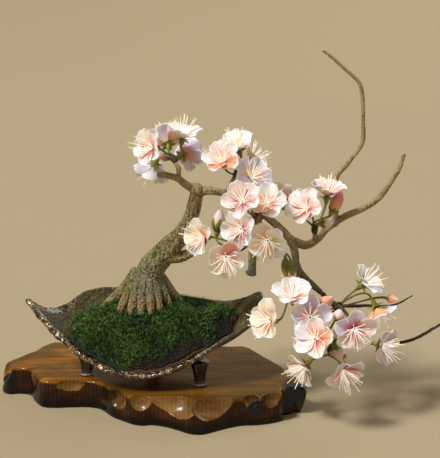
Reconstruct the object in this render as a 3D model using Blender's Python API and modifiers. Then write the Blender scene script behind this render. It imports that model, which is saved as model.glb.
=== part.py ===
"""Flowering cherry bonsai in a curved glazed tray on a polished wooden slab.

Metres, +Z up, the front of the tray toward -Y. The origin is the middle of the
slab's flat underside. Points in the tables below are in millimetres.
"""

import math

import bmesh
import bpy
from mathutils import Matrix, Vector

MM = 0.001

# Clearance left between pieces that touch
GAP = 0.35 * MM

# Points of a finished piece nearer than this are welded
WELD = 0.005 * MM

# Edges sharper than this many degrees stay sharp in the shading
SHARP_EDGE = 40.0

# Slab
SLAB_THICKNESS = 20.0 * MM
SLAB_EDGE = 2.0 * MM

# Tray
TRAY_THICKNESS = 3.2 * MM
FOOT_TOP_RADIUS = 7.0 * MM
FOOT_BOTTOM_RADIUS = 4.3 * MM
FOOT_LENGTH = 32.0 * MM

# Share of the tray's thickness the feet reach into it
FOOT_SUNK = 0.45

# Soil and moss
MOSS_DEPTH = 3.6 * MM
MOSS_OVERHANG = 1.045
MOSS_LIFT = 0.4 * MM
MOSS_UNDERSIDE = 1.012
SOIL_EDGE_HEIGHT = 1.2 * MM
TRUNK_CLEARANCE = 0.4 * MM
TRAY_CLEARANCE = 0.55 * MM

# Blooms
HUB_RADIUS = 1.1 * MM
PETAL_LENGTH = 14.6 * MM
PETAL_HALF_WIDTH = 6.9 * MM
PETAL_THICKNESS = 0.65 * MM
PETAL_CURL = 18.0
PETAL_EDGE_LIFT = 1.1 * MM
PETAL_SPACE = 0.45 * MM

# Rows of a petal as shares of its length, and its width near the middle
PETAL_LOW_ROW = 0.40
PETAL_WIDE_ROW = 0.75
PETAL_NOTCH = 0.93
PETAL_TIP = 0.99
PETAL_LOW_WIDTH = 0.55
PETAL_TIP_SIDE = 0.60
PETAL_STEPS = 12
STAMEN_LENGTH = 14.5 * MM
STAMEN_RADIUS = 0.4 * MM
ANTHER_RADIUS = 0.6 * MM
STAMEN_RING = 0.7 * MM
STAMEN_SUNK = 0.4 * MM

# Flower stalks
STALK_RADIUS = 0.85 * MM
CALYX_LENGTH = 5.0 * MM
SEPAL_REACH = 3.0 * MM
SEPAL_COUNT = 5
SEPAL_NOTCH = 0.6
BUD_CALYX_REACH = 2.0 * MM
BUD_CALYX_LENGTH = 3.0 * MM
BUD_CALYX_SIDES = 6
STALK_SEAT = 6.0 * MM
BUD_STALK_SEAT = 3.5 * MM
STALK_INTO_CALYX = 1.5 * MM
KNOT_LENGTH = 5.0 * MM

# Stalks start this deep in their knot, each a little deeper and turned further
STALK_START = 2.3 * MM
STALK_STAGGER = 0.15 * MM
STALK_TWIST = 0.40
STALK_STEPS = 4
STALK_REACH = (0.30, 0.35)

# Outline of the slab seen from above
SLAB_OUTLINE = [
    (-106, 8), (-105, 20), (-98, 32), (-90, 44), (-86, 56), (-77, 65), (-66, 63),
    (-54, 58), (-38, 60), (-20, 64), (0, 63), (20, 66), (38, 62), (52, 56), (62, 54),
    (75, 53), (84, 42), (89, 31), (97, 18), (103, 6), (105, -8), (112, -17),
    (116, -25), (115, -33), (107, -36), (99, -36), (98, -44), (90, -49), (80, -52),
    (70, -53), (60, -57), (50, -63), (43, -67), (35, -66), (26, -60), (18, -55),
    (9, -52), (3, -53), (-4, -51), (-12, -45), (-20, -38), (-29, -26), (-38, -22),
    (-50, -22), (-62, -23), (-71, -21), (-78, -12), (-84, 0), (-92, 3), (-100, 2),
]

# Carved hollows along the slab's edge: middle, then half sizes
SLAB_HOLLOWS = [
    ((-100, -3, 12), (9, 9, 9)),
    ((-82, -18, 14), (9, 7, 8)),
    ((-50, -28, 14), (10, 8, 7)),
    ((-24, -44, 13), (9, 12, 7)),
    ((18, -64, 15), (15, 12, 8)),
    ((58, -66, 15), (12, 12, 8)),
    ((84, -59, 14), (9, 11, 8)),
    ((105, -46, 12), (9, 9, 8)),
    ((101, 26, 15), (8, 9, 7)),
    ((-104, 44, 14), (9, 8, 8)),
]

# Upper edge of the tray, starting at its left tip
TRAY_RIM = [
    (-81, 1, 73), (-70, -9, 63), (-58, -18, 54), (-46, -26, 46), (-34, -32, 40),
    (-21, -38, 35), (-7, -42, 33), (8, -43, 33), (22, -42, 37), (36, -39, 43),
    (48, -35, 50), (60, -30, 56), (71, -23, 60), (79, -11, 65), (83, 2, 76),
    (80, 14, 74), (73, 26, 67), (62, 37, 61), (46, 45, 59), (26, 50, 61),
    (5, 52, 64), (-16, 51, 66), (-33, 48, 68), (-47, 43, 66), (-57, 35, 61),
    (-67, 26, 59), (-76, 15, 64),
]
TRAY_FLOOR = (3.0, 2.0, 35.0)

# Share of the way out to the rim, then share of the climb to the rim
TRAY_RINGS = [(0.32, 0.05), (0.58, 0.24), (0.80, 0.56), (1.0, 1.0)]
TRAY_FEET = [(-40, -9), (41, -29), (4, 34)]

# Edge of the soil as a share of the way out to the rim
SOIL_EDGE = [
    0.58, 0.68, 0.78, 0.86, 0.90, 0.91, 0.91, 0.91, 0.91, 0.91, 0.90, 0.89, 0.86,
    0.80, 0.78, 0.79, 0.81, 0.84, 0.87, 0.88, 0.88, 0.86, 0.82, 0.76, 0.68, 0.60,
    0.56,
]
MOUND_TOP = (2.0, 15.0, 66.0)
MOUND_RINGS = [(0.36, 0.95), (0.70, 0.56), (1.0, 0.0)]
MOUND_FOOT = 12.0

# Wood of the tree: (x, y, z, radius)
TRUNK = [
    (-3, 15, 45, 11.5), (-1, 14, 65, 11.9), (1, 11, 81, 10.5), (6, 8, 94, 9.4),
    (15, 5, 106, 8.0), (25, 3, 117, 6.7), (33, 2, 129, 5.5), (37, 2, 141, 4.9),
    (39, 2, 151, 4.4), (40, 2, 155, 3.0),
]
ROOTS = [
    [(-4, 10, 92, 4.5), (-11, 10, 82, 4.3), (-19, 11, 73, 3.8), (-28, 12, 65, 3.2),
     (-36, 12, 57, 2.6), (-43, 11, 50, 1.9)],
    [(-4, 6, 90, 4.0), (-10, 2, 78, 3.6), (-15, -1, 68, 3.0), (-18, -3, 60, 2.2)],
    [(-2, 4, 90, 3.8), (-5, 0, 78, 3.4), (-8, -4, 67, 2.9), (-9, -6, 58, 2.3)],
    [(1, 3, 90, 3.8), (0, -2, 78, 3.4), (-1, -6, 66, 2.9), (-1, -8, 57, 2.3)],
    [(4, 3, 90, 3.7), (5, -2, 78, 3.3), (6, -6, 66, 2.8), (7, -8, 57, 2.2)],
    [(7, 4, 90, 3.6), (10, 0, 79, 3.2), (12, -3, 68, 2.7), (14, -5, 60, 2.1)],
    [(9, 6, 88, 3.4), (14, 4, 79, 3.1), (18, 3, 70, 2.6), (21, 2, 62, 2.0)],
    [(9, 9, 92, 4.0), (16, 10, 82, 3.6), (24, 11, 71, 3.0), (31, 12, 62, 2.2)],
    [(-1, 19, 88, 4.4), (-3, 26, 76, 3.8), (-5, 32, 64, 3.0), (-6, 35, 56, 2.2)],
]
BRANCHES = {
    "left_twig": [(39, 2, 151, 3.0), (31, 2, 156, 2.8), (25, 4, 160, 2.3),
                  (17, 6, 162, 2.1), (11, 7, 162, 1.9)],
    "left_spur": [(26, 4, 159, 1.8), (26, 7, 166, 1.7), (24, 9, 170, 1.6)],
    "main": [(39, 2, 151, 3.4), (48, 0, 152, 2.9), (60, -1, 150, 2.6),
             (69, -2, 148, 2.5), (80, -3, 142, 2.5), (88, -4, 134, 2.5),
             (97, -5, 126, 2.6), (105, -7, 118, 2.8)],
    "upper_spur": [(60, -1, 150, 1.9), (63, 0, 157, 1.7), (65, 0, 161, 1.6)],
    "middle_spur": [(77, -3, 144, 1.9), (78, -9, 140, 1.7)],
    "cut_twig": [(84, -4, 138, 2.3), (81, -1, 128, 2.4), (79, 1, 120, 2.6),
                 (78, 3, 105, 2.8), (78, 4, 90, 2.9)],
    "cut_nub": [(78, 4, 94, 1.9), (74, 2, 92, 1.7)],
    "front_spur": [(80, -1, 126, 1.9), (77, -8, 120, 1.7)],
    "right": [(105, -7, 118, 2.8), (115, -4, 114, 2.8), (123, 0, 117, 2.6),
              (129, 3, 123, 2.5), (137, 5, 129, 2.4), (146, 8, 133, 2.3),
              (161, 10, 140, 2.2), (169, 12, 146, 2.1), (176, 13, 156, 1.9),
              (182, 14, 166, 1.7), (185, 15, 176, 1.3)],
    "thin": [(136, 5, 129, 2.0), (138, 8, 144, 1.7), (137, 10, 159, 1.6),
             (144, 11, 168, 1.6), (147, 12, 172, 1.5), (155, 13, 184, 1.5),
             (155, 13, 199, 1.4), (154, 13, 216, 1.4), (151, 13, 226, 1.3),
             (141, 12, 235, 1.2), (133, 12, 242, 1.1), (125, 11, 248, 0.9)],
    "right_spur": [(122, -1, 117, 1.9), (121, -6, 123, 1.6)],
    "lower": [(105, -7, 118, 2.8), (107, -9, 110, 2.6), (108, -11, 102, 2.4),
              (112, -13, 95, 2.3), (119, -15, 88, 2.3), (125, -16, 83, 2.2),
              (134, -17, 75, 2.2), (142, -15, 73, 1.9), (157, -11, 72, 1.7),
              (177, -7, 71, 1.4), (192, -5, 78, 1.0)],
    "fork_spur": [(111, -12, 97, 1.8), (107, -19, 95, 1.6)],
    "cluster_spur": [(132, -17, 76, 2.0), (135, -25, 77, 1.8)],
    "second": [(134, -17, 75, 2.1), (143, -15, 59, 2.0), (158, -11, 46, 2.0),
               (173, -7, 42, 1.9), (181, -5, 42, 1.8), (195, -3, 45, 1.8),
               (213, 1, 54, 1.6), (222, 3, 59, 1.3)],
    "low_spur": [(140, -15, 63, 1.8), (136, -20, 53, 1.6), (133, -24, 48, 1.5)],
    "stub": [(17, 3, 104, 5.4), (27, 2, 104, 4.0), (36, 2, 108, 2.8)],
}

# Swellings where branches meet: middle, radius
KNUCKLES = [((39, 2, 152), 5.2), ((105, -7, 117), 3.5), ((134, -17, 75), 3.0),
            ((136, 5, 128), 3.0)]

# Each spray of flower stalks grows from the end of one spur
SPRAYS = {
    "stalks_left": "left_spur",
    "stalks_upper": "upper_spur",
    "stalks_middle": "middle_spur",
    "stalks_front": "front_spur",
    "stalks_right": "right_spur",
    "stalks_fork": "fork_spur",
    "stalks_cluster": "cluster_spur",
    "stalks_low": "low_spur",
}

# Blooms: middle, facing as (turn, rise) in degrees, opening, spin,
# bend of each petal, sideways bow of the stalk, spray
BLOOMS = {
    "bloom_01": ((9, -1, 182), (228, 13), 24, 31, (0, -7, -5, -2, -1), (-4, 3, 1), "left"),
    "bloom_02": ((29, 4, 188), (320, 75), 24, 27, (-2, 5, -2, -2, 1), (2, 1, -4), "left"),
    "bloom_03": ((18, 21, 182), (99, 38), 28, 44, (-3, -1, 3, -1, 5), (0, 1, -1), "left"),
    "bloom_04": ((8, 24, 167), (134, -47), 22, 71, (-2, -3, -11, 0, -12), (2, -2, 2), "left"),
    "bloom_05": ((28, 31, 173), (54, 5), 26, 40, (5, 8, -3, 1, 4), (-3, -2, -1), "left"),
    "bloom_06": ((57, -9, 173), (251, 43), 27, 24, (0, -1, 3, -7, 1), (0, 1, -3), "upper"),
    "bloom_07": ((68, 7, 180), (237, 58), 22, 46, (7, 4, 6, 8, 0), (0, 0, -1), "upper"),
    "bloom_08": ((76, 24, 169), (347, 46), 28, 69, (7, -1, -5, -23, 9), (-2, -1, -3), "upper"),
    "bloom_09": ((76, -8, 162), (294, 34), 20, 34, (-11, -3, -4, -2, -3), (-3, 5, -1), "upper"),
    "bloom_10": ((86, -24, 146), (267, 38), 24, 62, (6, 10, -1, -7, 5), (2, 3, -2), "middle"),
    "bloom_11": ((70, -35, 150), (254, 36), 27, 33, (11, -6, -11, 1, -10), (1, -1, -1), "middle"),
    "bloom_12": ((70, -11, 127), (244, 5), 18, 23, (-2, 4, -11, 2, 5), (3, -1, 1), "middle"),
    "bloom_13": ((87, -28, 123), (262, -9), 18, 29, (-4, 12, 3, -4, 6), (0, -5, 4), "front"),
    "bloom_14": ((59, -21, 110), (271, -8), 18, 48, (7, 9, 10, 9, 0), (-1, -1, -4), "front"),
    "bloom_15": ((44, -10, 121), (223, 6), 24, 14, (-6, 11, -8, 7, -1), (4, -4, -1), "front"),
    "bloom_18": ((114, -18, 142), (235, 33), 25, 46, (0, 1, 0, -5, 2), (0, 3, 0), "right"),
    "bloom_19": ((129, -5, 149), (301, 79), 28, 6, (1, 0, 4, 7, 3), (-2, 0, -6), "right"),
    "bloom_20": ((99, 18, 140), (109, 18), 26, 49, (-9, -10, 0, 0, -10), (0, 1, 1), "right"),
    "bloom_21": ((153, -21, 90), (331, 42), 26, 56, (-1, 1, -1, -3, -4), (-3, 1, -2), "cluster"),
    "bloom_22": ((162, -24, 75), (336, -61), 22, 4, (-5, -5, -2, 4, 16), (0, 0, 3), "cluster"),
    "bloom_23": ((144, -47, 67), (272, -4), 12, 69, (3, 0, 4, -2, -2), (0, 1, -1), "cluster"),
    "bloom_24": ((164, -34, 51), (322, -6), 20, 35, (-6, 0, 6, 6, 1), (2, -2, -1), "cluster"),
    "bloom_25": ((136, -56, 42), (288, -31), 20, 28, (-2, 0, -5, -3, -5), (-2, 2, -2), "low"),
    "bloom_26": ((113, -43, 40), (214, -28), 24, 70, (-4, 1, 4, -1, -1), (6, 2, -1), "low"),
    "bloom_27": ((117, -63, 65), (244, 31), 22, 63, (-1, -4, -1, 0, 10), (-2, 1, -1), "cluster"),
    "bloom_28": ((115, -44, 74), (266, 12), 14, 1, (-12, 17, 3, -6, -11), (-3, -2, -4), "cluster"),
    "bloom_29": ((89, -38, 70), (229, 14), 20, 12, (-11, -5, 0, 4, 16), (0, -1, -3), "fork"),
    "bloom_30": ((103, -42, 87), (264, 56), 24, 6, (-4, -2, 7, -1, 3), (1, -1, -1), "fork"),
}

# Buds: base, tip, radius, sideways bow of the stalk, spray
BUDS = {
    "bud_01": ((53, 2, 122), (55, 3, 139), 4.8, (0, -4, 1), "front"),
    "bud_02": ((100, -15, 107), (101, -11, 92), 3.0, (-4, 4, 2), "front"),
    "bud_03": ((103, -26, 105), (104, -27, 93), 3.8, (-1, -1, 1), "front"),
    "bud_04": ((133, -1, 137), (140, 1, 152), 4.6, (-5, 0, 3), "right"),
    "bud_05": ((124, -13, 131), (133, -11, 131), 3.6, (4, -1, 2), "right"),
    "bud_06": ((170, -23, 81), (176, -31, 82), 2.8, (-2, 0, -1), "cluster"),
    "bud_07": ((134, -33, 49), (137, -37, 40), 4.8, (0, -2, -2), "low"),
    "bud_08": ((122, -36, 79), (131, -37, 86), 4.4, (0, 2, -1), "cluster"),
    "bud_09": ((134, -41, 71), (135, -42, 79), 4.2, (2, 0, 0), "cluster"),
    "bud_10": ((18, 16, 172), (12, 7, 175), 2.2, (-3, 0, 0), "left"),
    "bud_11": ((134, -32, 55), (134, -35, 63), 2.8, (0, 2, -2), "low"),
    "bud_12": ((140, -25, 40), (144, -25, 36), 2.4, (0, 1, 2), "low"),
}

# Stamens of a bloom: lean and turn in degrees
STAMENS = [(16, 10), (34, 82), (24, 154), (38, 226), (28, 298)]

# Materials: colour, roughness, metallic
MATERIALS = {
    "lacquered_wood": ((0.36, 0.16, 0.03), 0.18, 0.0),
    "dark_glaze": ((0.035, 0.026, 0.018), 0.28, 0.0),
    "soil_brown": ((0.055, 0.032, 0.02), 0.95, 0.0),
    "moss_green": ((0.035, 0.10, 0.022), 0.95, 0.0),
    "bark_brown": ((0.17, 0.12, 0.065), 0.9, 0.0),
    "petal_blush": ((0.86, 0.66, 0.66), 0.6, 0.0),
    "bud_pink": ((0.80, 0.40, 0.34), 0.6, 0.0),
    "stalk_green": ((0.20, 0.24, 0.06), 0.6, 0.0),
}


def clear_scene():
    for item in list(bpy.data.objects):
        bpy.data.objects.remove(item, do_unlink=True)


def new_collection(name):
    collection = bpy.data.collections.new(name)
    bpy.context.scene.collection.children.link(collection)
    return collection


def make_material(name):
    colour, roughness, metallic = MATERIALS[name]
    material = bpy.data.materials.new(name)
    material.use_nodes = True
    surface = material.node_tree.nodes["Principled BSDF"]
    surface.inputs["Base Color"].default_value = (*colour, 1.0)
    surface.inputs["Roughness"].default_value = roughness
    surface.inputs["Metallic"].default_value = metallic
    return material


def place(item, cutter=False):
    target = "cutters" if cutter else "cherry_bonsai"
    bpy.data.collections[target].objects.link(item)
    if cutter:
        item.hide_render = True
        item.display_type = "WIRE"
    return item


def object_from_bmesh(name, mesh_data, cutter=False):
    mesh = bpy.data.meshes.new(name)
    mesh_data.normal_update()
    mesh_data.to_mesh(mesh)
    mesh_data.free()
    return place(bpy.data.objects.new(name, mesh), cutter)


def bake(item):
    """Apply the modifiers of an object."""
    bpy.context.view_layer.update()
    graph = bpy.context.evaluated_depsgraph_get()
    mesh = bpy.data.meshes.new_from_object(item.evaluated_get(graph))
    item.modifiers.clear()
    item.data = mesh
    return item


def curve_to_mesh(item):
    """Replace a curve object with a welded mesh object."""
    bpy.context.view_layer.update()
    graph = bpy.context.evaluated_depsgraph_get()
    mesh = bpy.data.meshes.new_from_object(item.evaluated_get(graph))
    welded = bmesh.new()
    welded.from_mesh(mesh)
    bmesh.ops.remove_doubles(welded, verts=welded.verts, dist=0.000001)
    bmesh.ops.recalc_face_normals(welded, faces=welded.faces)
    name = item.name
    matrix = item.matrix_world.copy()
    bpy.data.objects.remove(item, do_unlink=True)
    result = object_from_bmesh(name, welded, cutter=True)
    result.matrix_world = matrix
    return result


def tube(name, points, rounding, grow=0.0, twist=0.0):
    """A tapered tube through (x, y, z, radius) points in millimetres."""
    curve = bpy.data.curves.new(name, "CURVE")
    curve.dimensions = "3D"
    curve.bevel_depth = 1.0
    curve.bevel_resolution = rounding
    curve.use_fill_caps = True
    spline = curve.splines.new("POLY")
    spline.points.add(len(points) - 1)
    for target, (x, y, z, radius) in zip(spline.points, points):
        target.co = (x * MM, y * MM, z * MM, 1.0)
        target.radius = radius * MM + grow
        target.tilt = twist
    return curve_to_mesh(place(bpy.data.objects.new(name, curve), cutter=True))


def ball(name, middle, sizes, segments=10, rings=6):
    data = bmesh.new()
    bmesh.ops.create_uvsphere(data, u_segments=segments, v_segments=rings, radius=1.0)
    bmesh.ops.scale(data, vec=[size * MM for size in sizes], verts=data.verts)
    bmesh.ops.translate(data, vec=[value * MM for value in middle], verts=data.verts)
    return object_from_bmesh(name, data, cutter=True)


def pose(point, direction):
    """The matrix that stands an upright thing at a point, along a direction."""
    turn = Vector((0.0, 0.0, 1.0)).rotation_difference(direction)
    return Matrix.Translation(point) @ turn.to_matrix().to_4x4()


def cone(name, start, direction, start_radius, end_radius, length, sides):
    """A flat-ended cone from start along direction, all in metres."""
    data = bmesh.new()
    bmesh.ops.create_cone(
        data, cap_ends=True, segments=sides, radius1=start_radius,
        radius2=end_radius, depth=length,
    )
    middle = start + direction * length / 2
    bmesh.ops.transform(data, matrix=pose(middle, direction), verts=data.verts)
    return object_from_bmesh(name, data, cutter=True)


def gather(name, items):
    collection = bpy.data.collections.new(name)
    for item in items:
        collection.objects.link(item)
    return collection


def combine(item, items, operation="UNION"):
    """Join items to an object or cut them from it, in one Boolean."""
    group = gather("group", items)
    modifier = item.modifiers.new(operation.title(), "BOOLEAN")
    modifier.operation = operation
    modifier.operand_type = "COLLECTION"
    modifier.collection = group
    modifier.solver = "EXACT"
    bake(item)
    for used in items:
        bpy.data.objects.remove(used, do_unlink=True)
    bpy.data.collections.remove(group)
    return item


def finish(item, name, material):
    item.name = name
    item.data.name = name
    item.hide_render = False
    item.display_type = "SOLID"
    for collection in list(item.users_collection):
        collection.objects.unlink(item)
    bpy.data.collections["cherry_bonsai"].objects.link(item)
    tidy = bmesh.new()
    tidy.from_mesh(item.data)
    bmesh.ops.remove_doubles(tidy, verts=tidy.verts, dist=WELD)
    bmesh.ops.dissolve_degenerate(tidy, edges=tidy.edges, dist=WELD)
    bmesh.ops.triangulate(tidy, faces=tidy.faces)
    tidy.to_mesh(item.data)
    tidy.free()
    item.data.shade_smooth()
    item.data.set_sharp_from_angle(angle=math.radians(SHARP_EDGE))
    item.data.materials.clear()
    item.data.materials.append(material)
    return item


def build_slab(materials):
    curve = bpy.data.curves.new("slab", "CURVE")
    curve.dimensions = "2D"
    curve.fill_mode = "BOTH"
    curve.extrude = SLAB_THICKNESS / 2
    spline = curve.splines.new("POLY")
    spline.points.add(len(SLAB_OUTLINE) - 1)
    spline.use_cyclic_u = True
    for target, (x, y) in zip(spline.points, SLAB_OUTLINE):
        target.co = (x * MM, y * MM, 0.0, 1.0)
    item = bpy.data.objects.new("slab", curve)
    item.location.z = SLAB_THICKNESS / 2
    slab = curve_to_mesh(place(item, cutter=True))
    slab.data.transform(slab.matrix_world)
    slab.matrix_world = Matrix.Identity(4)
    rounding = slab.modifiers.new("edge", "BEVEL")
    rounding.width = SLAB_EDGE
    rounding.segments = 1
    rounding.limit_method = "ANGLE"
    rounding.angle_limit = math.radians(50)
    bake(slab)
    hollows = [
        ball("hollow", middle, sizes, 10, 5) for middle, sizes in SLAB_HOLLOWS
    ]
    combine(slab, hollows, "DIFFERENCE")
    finish(slab, "display_slab", materials["lacquered_wood"])


def ring_point(index, outward, climb):
    """A point of the tray's inner surface, in millimetres."""
    floor = Vector(TRAY_FLOOR)
    rim = Vector(TRAY_RIM[index])
    point = floor + (rim - floor) * outward
    point.z = floor.z + (rim.z - floor.z) * climb
    return point


def surface_grid(rings, middle):
    """An open bowl of triangles through rings of points around a middle point."""
    data = bmesh.new()
    centre = data.verts.new(Vector(middle) * MM)
    loops = [[data.verts.new(point * MM) for point in ring] for ring in rings]
    count = len(rings[0])
    for index in range(count):
        after = (index + 1) % count
        data.faces.new((centre, loops[0][index], loops[0][after]))
    for inner, outer in zip(loops, loops[1:]):
        for index in range(count):
            after = (index + 1) % count
            data.faces.new((inner[index], outer[index], outer[after]))
            data.faces.new((inner[index], outer[after], inner[after]))
    return data, loops


def tray_rings():
    return [
        [ring_point(index, outward, climb) for index in range(len(TRAY_RIM))]
        for outward, climb in TRAY_RINGS
    ]


def tray_height(x, y):
    """Height of the tray's inner surface over a point, in millimetres."""
    rings = [[Vector(TRAY_FLOOR)] * len(TRAY_RIM)] + tray_rings()
    count = len(TRAY_RIM)
    for inner, outer in zip(rings, rings[1:]):
        for index in range(count):
            after = (index + 1) % count
            for corners in (
                (inner[index], outer[index], outer[after]),
                (inner[index], outer[after], inner[after]),
            ):
                height = height_on(corners, x, y)
                if height is not None:
                    return height
    return None


def height_on(corners, x, y):
    a, b, c = corners
    area = (b.x - a.x) * (c.y - a.y) - (c.x - a.x) * (b.y - a.y)
    if abs(area) < 0.000001:
        return None
    to_b = ((x - a.x) * (c.y - a.y) - (c.x - a.x) * (y - a.y)) / area
    to_c = ((b.x - a.x) * (y - a.y) - (x - a.x) * (b.y - a.y)) / area
    if to_b < -0.001 or to_c < -0.001 or to_b + to_c > 1.001:
        return None
    return a.z + to_b * (b.z - a.z) + to_c * (c.z - a.z)


def build_tray(materials):
    data, _ = surface_grid(tray_rings(), TRAY_FLOOR)
    bmesh.ops.recalc_face_normals(data, faces=data.faces)
    if sum(face.normal.z for face in data.faces) < 0:
        bmesh.ops.reverse_faces(data, faces=data.faces)
    tray = object_from_bmesh("tray", data, cutter=True)
    wall = tray.modifiers.new("wall", "SOLIDIFY")
    wall.thickness = TRAY_THICKNESS
    wall.offset = -1.0
    bake(tray)
    feet = []
    for x, y in TRAY_FEET:
        bottom = SLAB_THICKNESS + GAP
        start = Vector((x * MM, y * MM, bottom))
        up = Vector((0.0, 0.0, 1.0))
        foot = cone(
            "foot", start, up, FOOT_BOTTOM_RADIUS, FOOT_TOP_RADIUS, FOOT_LENGTH, 12
        )
        below = tray_block(-FOOT_SUNK * TRAY_THICKNESS / MM)
        feet.append(combine(foot, [below], "INTERSECT"))
    combine(tray, feet)
    finish(tray, "tray", materials["dark_glaze"])


def mound(name, lift, spread):
    """The heap of soil: a domed top, an upright edge and a flat bottom."""
    top = Vector(MOUND_TOP)
    edge = []
    for index, share in enumerate(SOIL_EDGE):
        point = ring_point(index, share * spread, 0.0)
        point.z = tray_height(point.x, point.y) + SOIL_EDGE_HEIGHT / MM
        edge.append(point)
    rings = []
    for outward, rise in MOUND_RINGS:
        ring = []
        for point in edge:
            between = top + (point - top) * outward
            between.z = point.z + (top.z - point.z) * rise + lift
            ring.append(between)
        rings.append(ring)
    rings.append([Vector((point.x, point.y, MOUND_FOOT)) for point in edge])
    data, loops = surface_grid(rings, top + Vector((0, 0, lift)))
    data.faces.new(reversed(loops[-1]))
    bmesh.ops.triangulate(data, faces=[face for face in data.faces if len(face.verts) > 4])
    bmesh.ops.recalc_face_normals(data, faces=data.faces)
    return object_from_bmesh(name, data, cutter=True)


def tray_block(lift):
    """The space under the tray's inner surface moved up by lift millimetres."""
    up = Vector((0, 0, lift))
    rings = [[point + up for point in ring] for ring in tray_rings()]
    rim = rings[-1]
    middle = Vector(TRAY_FLOOR)
    wide = []
    for point in rim:
        out = point - middle
        out.z = 0.0
        wide.append(point + out.normalized() * 8.0 + Vector((0, 0, 7)))
    rings.append(wide)
    rings.append([Vector((point.x, point.y, 2.0)) for point in wide])
    data, loops = surface_grid(rings, middle + up)
    data.faces.new(reversed(loops[-1]))
    bmesh.ops.triangulate(data, faces=[face for face in data.faces if len(face.verts) > 4])
    bmesh.ops.recalc_face_normals(data, faces=data.faces)
    return object_from_bmesh("tray_block", data, cutter=True)


def wood_tubes(grow=0.0, only_base=False):
    tubes = [tube("wood", TRUNK, 3, grow)]
    for points in ROOTS:
        tubes.append(tube("wood", points, 1, grow))
    if only_base:
        return tubes
    for points in BRANCHES.values():
        tubes.append(tube("wood", points, 1, grow))
    for middle, radius in KNUCKLES:
        tubes.append(ball("wood", middle, (radius, radius, radius), 8, 6))
    return tubes


def build_ground(materials):
    soil = mound("soil", 0.0, 1.0)
    cutters = [tray_block(TRAY_CLEARANCE / MM)]
    combine(soil, cutters + wood_tubes(TRUNK_CLEARANCE, True), "DIFFERENCE")
    finish(soil, "soil", materials["soil_brown"])
    moss = mound("moss", MOSS_DEPTH / MM, MOSS_OVERHANG)
    under = mound("under", MOSS_LIFT / MM, MOSS_UNDERSIDE)
    cutters = [under, tray_block(TRAY_CLEARANCE / MM)]
    combine(moss, cutters + wood_tubes(TRUNK_CLEARANCE, True), "DIFFERENCE")
    finish(moss, "moss", materials["moss_green"])


def build_tree(materials):
    pieces = wood_tubes()
    tree = pieces[0]
    combine(tree, pieces[1:])
    finish(tree, "tree", materials["bark_brown"])


def spur_end(spray):
    """The end of a spray's spur, its direction and its radius."""
    points = BRANCHES[SPRAYS["stalks_" + spray]]
    end = Vector(points[-1][:3]) * MM
    before = Vector(points[-2][:3]) * MM
    return end, (end - before).normalized(), points[-1][3] * MM


def bloom_axes(facing, spin):
    turn, rise = (math.radians(value) for value in facing)
    flat = math.cos(rise)
    ahead = Vector((flat * math.cos(turn), flat * math.sin(turn), math.sin(rise)))
    guide = Vector((0, 0, 1)) if abs(ahead.z) < 0.9 else Vector((0, -1, 0))
    side = (guide - ahead * guide.dot(ahead)).normalized()
    across = ahead.cross(side)
    angle = math.radians(spin)
    first = side * math.cos(angle) + across * math.sin(angle)
    second = across * math.cos(angle) - side * math.sin(angle)
    return first, second, ahead


def petal_point(along, sideways, half_width, opening):
    """A point of a petal: outward, across and up from the bloom's middle."""
    out = 0.0
    up = 0.0
    stride = along / PETAL_STEPS * PETAL_LENGTH
    for step in range(PETAL_STEPS):
        passed = (step + 0.5) / PETAL_STEPS * along
        angle = math.radians(opening + PETAL_CURL * (1 - 2 * passed))
        out += math.cos(angle) * stride
        up += math.sin(angle) * stride
    lift = PETAL_EDGE_LIFT * min(1.0, along * 1.3) * sideways * sideways
    end = math.radians(opening + PETAL_CURL * (1 - 2 * along))
    out -= lift * math.sin(end)
    up += lift * math.cos(end)
    return HUB_RADIUS + out, sideways * half_width, up


def petal_width(along, share, opening):
    """Half width of a petal, kept clear of the next petal where it's steep."""
    out = petal_point(along, 0.0, 0.0, opening)[0]
    room = out * math.tan(math.radians(36)) - PETAL_SPACE
    return min(PETAL_HALF_WIDTH * share, room)


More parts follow.
